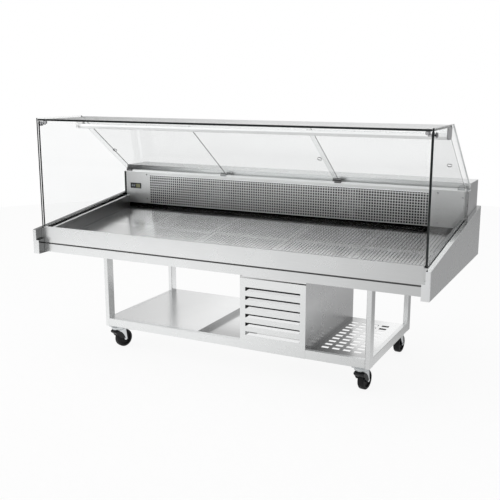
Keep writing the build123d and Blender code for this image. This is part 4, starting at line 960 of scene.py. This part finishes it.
def replace_with(node, built, finish):
    """Puts a finer shape in the place of a node, on the body of the same name."""
    piece = add_piece(f"{node}_fine", finish_mesh(f"{node}_fine", built), node, finish)
    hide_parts(node)
    return piece


def fine_wheel(name, point):
    """Wheel with rounded tread, set-in web and hub."""
    tread = [(WHEEL_RADIUS - TYRE_ROUND * (1 - cos(turn)), WHEEL_HALF - TYRE_ROUND * (1 - sin(turn)))
             for turn in map(radians, TREAD_TURNS)]
    side = ((BORE, HUB_HALF), (HUB_RADIUS, HUB_HALF), (HUB_RADIUS, WEB_HALF), (RIM_RADIUS, WEB_HALF),
            (RIM_RADIUS, WHEEL_HALF), *tread)
    built = bmesh.new()
    add_ring(built, both_sides(side), about_axle(point))
    replace_with(f"caster_wheel_{name}", built, rubber)


def fine_fork(name, point):
    """Swivel drum with a necked dome, two tapering cheeks and the axle bolt's heads."""
    built = bmesh.new()
    add_ring(built, DRUM_SECTION, lambda radius, up, angle: point(
        radius * cos(angle), radius * sin(angle), up))
    boss = [(TRAIL + CHEEK_BOSS * sin(turn), WHEEL_RADIUS - CHEEK_BOSS * cos(turn))
            for turn in map(radians, BOSS_TURNS)]
    cheek = [(CHEEK_TOP[0], CHEEK_ROOT), (CHEEK_TOP[1], CHEEK_ROOT), *boss]
    for side in (-1, 1):
        add_slab(built, cheek, side * CHEEK_INNER, side * CHEEK_OUTER, point)
    add_ring(built, both_sides(BOLT_SIDE), about_axle(point))
    replace_with(f"caster_fork_{name}", built, zinc)


def fine_pedal(name, point):
    """Wide nose, a beak that dips towards the tread and curved skirts outside both cheeks."""
    built = bmesh.new()
    add_slab(built, BEAK_OUTLINE, -BEAK_HALF, BEAK_HALF, point)
    add_slab(built, NOSE_OUTLINE, -NOSE_HALF, NOSE_HALF, point)
    for side in (-1, 1):
        add_slab(built, SKIRT_OUTLINE, side * SKIRT_INNER, side * NOSE_HALF, point)
    piece = replace_with(f"brake_pedal_{name}", built, black_plastic)
    soften(piece, PEDAL_ROUND)


def add_caster_plate(mesh, name):
    """Adds one mounting plate, cut off at the front of the base."""
    x, y, _ = joints[f"caster_fork_{name}_swivel"]["pos_m"]
    half = PLATE_SIZE / 2
    corners = rectangle((x - half, x + half), (max(y - half, BASE_FRONT), y + half))
    add_slab(mesh, corners, PLATES_LOW.z, PLATES_HIGH.z, lambda a, up, b: (a, b, up))


def fine_casters():
    """Finer wheels, forks, pedals and plates at all four corners."""
    plates = bmesh.new()
    for name in CASTERS:
        point = caster_point(name)
        fine_wheel(name, point)
        fine_fork(name, point)
        if f"brake_pedal_{name}" in nodes:
            fine_pedal(name, point)
        add_caster_plate(plates, name)
    piece = add_piece("caster_plates_fine", finish_mesh("caster_plates_fine", plates), "case", zinc)
    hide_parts("caster_plates")


# Unit grille and what lies behind and below

def louvre_levels():
    """Lower and upper edge of each louvre slot."""
    for index in range(LOUVRE_COUNT):
        high = LOUVRE_TOP - index * LOUVRE_PITCH
        yield high - LOUVRE_HEIGHT, high


def fine_grille():
    """Unit panel with its louvre slots."""
    across = (GRILLE_LOW.x, *LOUVRE_X, GRILLE_HIGH.x)
    edges = (edge for slot in louvre_levels() for edge in slot)
    levels = sorted((GRILLE_LOW.z, GRILLE_HIGH.z, *edges))

    def is_hole(x, z):
        return LOUVRE_X[0] < x < LOUVRE_X[1] and any(low < z < high for low, high in louvre_levels())

    def place(x, z):
        return x, BASE_FRONT - GRILLE_SHEET, z

    mesh = pierced_sheet("grille_fine", across, levels, is_hole, place)
    piece = add_piece("grille_fine", mesh, "case", grille_steel)
    thicken(piece, GRILLE_SHEET)
    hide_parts("unit_grille")


def grille_lips():
    """Bright lips turned in at the lower edges of the louvre slots, and the panel's top flange; painted
    shade darkens the upper lips.
    """
    built = bmesh.new()
    inner = BASE_FRONT + LIP_REACH
    ends = (LOUVRE_X[0] + LIP_END_GAP, LOUVRE_X[1] - LIP_END_GAP)
    for low, _ in louvre_levels():
        outline = ((BASE_FRONT, low - GRILLE_SHEET), (inner, low),
                   (inner, low + GRILLE_SHEET), (BASE_FRONT, low))
        add_slab(built, outline, *ends, lambda y, x, z: (x, y, z))
    top = GRILLE_HIGH.z
    flange = rectangle((BASE_FRONT, BASE_FRONT + GRILLE_FLANGE), (top - GRILLE_SHEET, top))
    ends = (GRILLE_LOW.x + 2 * GRILLE_SHEET, GRILLE_HIGH.x - 2 * GRILLE_SHEET)
    add_slab(built, flange, *ends, lambda y, x, z: (x, y, z))
    add_piece("grille_lips", finish_mesh("grille_lips", built), "case", blade_steel)


def grille_filter():
    """Near-black pleated filter behind the louvres, which also stands in for the shade there; it stays out
    of the reflections in their lips.
    """
    step = (FILTER_X[1] - FILTER_X[0]) / FILTER_PLEATS
    folds = [FILTER_X[0] + i * step for i in range(FILTER_PLEATS + 1)]
    depth = {x: i % 2 * PLEAT_DEPTH for i, x in enumerate(folds)}
    mesh = pierced_sheet("grille_filter", folds, FILTER_Z, lambda x, z: False,
                         lambda x, z: (x, BASE_FRONT + FILTER_GAP + depth[x], z))
    piece = add_piece("grille_filter", mesh, "case", filter_felt)
    thicken(piece, SHEET)
    piece.visible_glossy = False


def floor_box():
    """Black terminal box with a cable gland under the rear slots of the base floor."""
    built = bmesh.new()
    add_slab(built, rectangle(BOX_X, BOX_Y), *BOX_Z, lambda x, z, y: (x, y, z))
    x, z = sum(BOX_X) / 2, sum(BOX_Z) / 2
    gland = ((CORE, -GLAND_LENGTH), (GLAND_RADIUS, -GLAND_LENGTH), (GLAND_RADIUS, 0.0), (CORE, 0.0))
    add_ring(built, gland, lambda radius, y, angle: (
        x + radius * cos(angle), BOX_Y[0] + y, z + radius * sin(angle)))
    piece = add_piece("floor_box", finish_mesh("floor_box", built), "case", black_plastic)
    soften(piece, BOX_ROUND)


# Seals, fillers and clamps at the front corners

def glass_seals():
    """Dark strips inside both side glasses, beside the ends of the front glass."""
    low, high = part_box("front_glass")
    outer = SIDE_PANE_LOW.x - SEAL_GAP
    built = bmesh.new()
    for side in (-1, 1):
        across = sorted((side * (outer - SEAL_WIDTH), side * outer))
        add_slab(built, rectangle(across, (low.y, high.y)), low.z, high.z, lambda x, z, y: (x, y, z))
    mesh = finish_mesh("glass_seals", built)
    piece = add_piece("glass_seals", mesh, "case", seal_rubber)
    soften(piece, EDGE_ROUND)


def fascia_fillers():
    """Strips that carry the upper fascia on to the lips of both end panels."""
    built = bmesh.new()
    for side in (-1, 1):
        outline = rectangle(sorted(side * x for x in FILLER_X), FILLER_Z)
        add_slab(built, outline, FASCIA_FRONT, FASCIA_FRONT + SHEET, lambda x, y, z: (x, y, z))
    add_piece("fascia_fillers", finish_mesh("fascia_fillers", built), "case", fascia_steel)


def fine_clamps():
    """Slim seat under the top glass, arm and discs at each front corner."""
    built = bmesh.new()
    y = back(CLAMP_STATION)
    inner, outer = SIDE_PANE_LOW.x, SIDE_PANE_HIGH.x
    seat = ((CORE, CLAMP_ARM_Z), (SEAT_FOOT, CLAMP_ARM_Z), (SEAT_RADIUS, CLAMP_ARM_Z + SEAT_BEVEL),
            (SEAT_RADIUS, TOP_PANE_UNDER), (CORE, TOP_PANE_UNDER))
    arm = ((CORE, CLAMP_X), (ARM_RADIUS, CLAMP_X), (ARM_RADIUS, inner - DISC_BACK),
           (DISC_RADIUS, inner - DISC_SIDE), (DISC_RADIUS, inner), (CORE, inner))
    knob = ((CORE, outer), (DISC_RADIUS, outer), (DISC_RADIUS, outer + KNOB_SIDE),
            (KNOB_FACE, outer + KNOB_LENGTH), (CORE, outer + KNOB_LENGTH))
    for side in (-1, 1):
        add_ring(built, seat, lambda radius, up, angle: (
            side * CLAMP_X + radius * cos(angle), y + radius * sin(angle), up))
        for section in (arm, knob):
            add_ring(built, section, lambda radius, x, angle: (
                side * x, y + radius * cos(angle), CLAMP_ARM_Z + radius * sin(angle)))
    mesh = finish_mesh("corner_clamps_fine", built)
    piece = add_piece("corner_clamps_fine", mesh, "case", clamp_metal)
    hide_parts("corner_clamps")


# Studio

def light_path(tree, *kinds):
    """One for rays of these kinds, otherwise zero."""
    path = tree.nodes.new("ShaderNodeLightPath")
    value = path.outputs[kinds[0]]
    for kind in kinds[1:]:
        value = calculated(tree, "MAXIMUM", value, path.outputs[kind])
    return value


def show(tree, lit, seen, output_kind):
    """Shows one shader to the eye, also through glass, and another to light and reflections."""
    mix = tree.nodes.new("ShaderNodeMixShader")
    output = tree.nodes.new(output_kind)
    tree.links.new(light_path(tree, "Is Camera Ray", "Is Transmission Ray"), mix.inputs["Fac"])
    tree.links.new(lit, mix.inputs[1])
    tree.links.new(seen, mix.inputs[2])
    tree.links.new(mix.outputs["Shader"], output.inputs["Surface"])


def make_world():
    """White backdrop for the eye and through glass; soft grey studio walls for light and reflections."""
    world = bpy.data.worlds.new("studio")
    bpy.context.scene.world = world
    world.use_nodes = True
    tree = world.node_tree
    tree.nodes.clear()
    direction = separated(tree, tree.nodes.new("ShaderNodeTexCoord").outputs["Generated"])
    walls = tones(tree, direction["Z"], WALL_TONES)
    sides = tones(tree, direction["X"], SIDE_TONES)
    studio = tree.nodes.new("ShaderNodeBackground")
    tree.links.new(calculated(tree, "MULTIPLY", walls, sides), studio.inputs["Color"])
    white = tree.nodes.new("ShaderNodeBackground")
    white.inputs["Color"].default_value = (1.0, 1.0, 1.0, 1.0)
    show(tree, studio.outputs["Background"], white.outputs["Background"], "ShaderNodeOutputWorld")


def glow_and_paint(tree, tone, glow):
    """Paint of a tone that also glows by a share of it, so that shadows on it stay soft."""
    paint = tree.nodes.new("ShaderNodeBsdfDiffuse")
    light = tree.nodes.new("ShaderNodeEmission")
    both = tree.nodes.new("ShaderNodeMixShader")
    both.inputs["Fac"].default_value = glow
    for shader in (paint, light):
        tree.links.new(tone, shader.inputs["Color"])
    tree.links.new(paint.outputs["BSDF"], both.inputs[1])
    tree.links.new(light.outputs["Emission"], both.inputs[2])
    return both.outputs["Shader"]


def floor_tone(tree):
    """Grey of the floor as light and reflections meet it, darker at the back on the right."""
    axes = places(tree)
    right, rear = tones(tree, axes["X"], SHADE_RIGHT), tones(tree, axes["Y"], SHADE_BACK)
    shade = calculated(tree, "MULTIPLY", calculated(tree, "MULTIPLY", right, rear), FLOOR_SHADE)
    light = calculated(tree, "SUBTRACT", 1.0, shade)
    return calculated(tree, "MULTIPLY", tones(tree, axes["X"], FLOOR_TONES), light)


def floor_paint():
    """Floor that is white to the eye and grey to light and reflections."""
    made = bpy.data.materials.new("studio_floor")
    made.use_nodes = True
    tree = made.node_tree
    tree.nodes.clear()
    white = tree.nodes.new("ShaderNodeRGB").outputs["Color"]
    white.default_value = (1.0, 1.0, 1.0, 1.0)
    lit = glow_and_paint(tree, floor_tone(tree), FLOOR_GLOW)
    seen = glow_and_paint(tree, white, SEEN_GLOW)
    show(tree, lit, seen, "ShaderNodeOutputMaterial")
    return made


def make_floor():
    """Pale round floor that shows white and keeps a soft shadow."""
    bpy.ops.mesh.primitive_circle_add(vertices=FLOOR_CORNERS, radius=FLOOR_RADIUS, fill_type="NGON")
    floor = bpy.context.active_object
    floor.name = "studio_floor"
    floor.data.materials.append(floor_paint())


def make_lamp(name, place, target, size, power):
    """Soft box aimed at a point."""
    data = bpy.data.lights.new(name, "AREA")
    data.shape = "RECTANGLE"
    data.size, data.size_y = size
    data.energy = power
    lamp = bpy.data.objects.new(name, data)
    lamp.location = place
    aim = Vector(target) - Vector(place)
    lamp.rotation_euler = aim.to_track_quat("-Z", "Y").to_euler()
    lamp.visible_glossy = False
    bpy.context.scene.collection.objects.link(lamp)


def make_camera():
    """Camera where the photograph was taken from."""
    data = bpy.data.cameras.new("photo_camera")
    data.sensor_width = SENSOR
    data.lens = CAMERA_LENS
    camera = bpy.data.objects.new("photo_camera", data)
    camera.location = CAMERA_PLACE
    camera.rotation_euler = (CAMERA_TILT, 0.0, CAMERA_TURN)
    bpy.context.scene.collection.objects.link(camera)
    bpy.context.scene.camera = camera


# Finishes, pieces and studio in turn
bpy.context.scene.view_settings.view_transform = "Standard"
dress_nodes()
dress_glass()
dress_doors()
dress_thermostat()
dress_details()
hide_from_mirrors()
fine_cover()
fine_deck()
cover_screws()
fine_casters()
fine_grille()
grille_lips()
grille_filter()
floor_box()
glass_seals()
fascia_fillers()
fine_clamps()
for node_name in SOFTENED:
    soften(nodes[node_name], EDGE_ROUND)
make_world()
make_floor()
for lamp_name, settings in LAMPS.items():
    make_lamp(lamp_name, *settings)
make_camera()
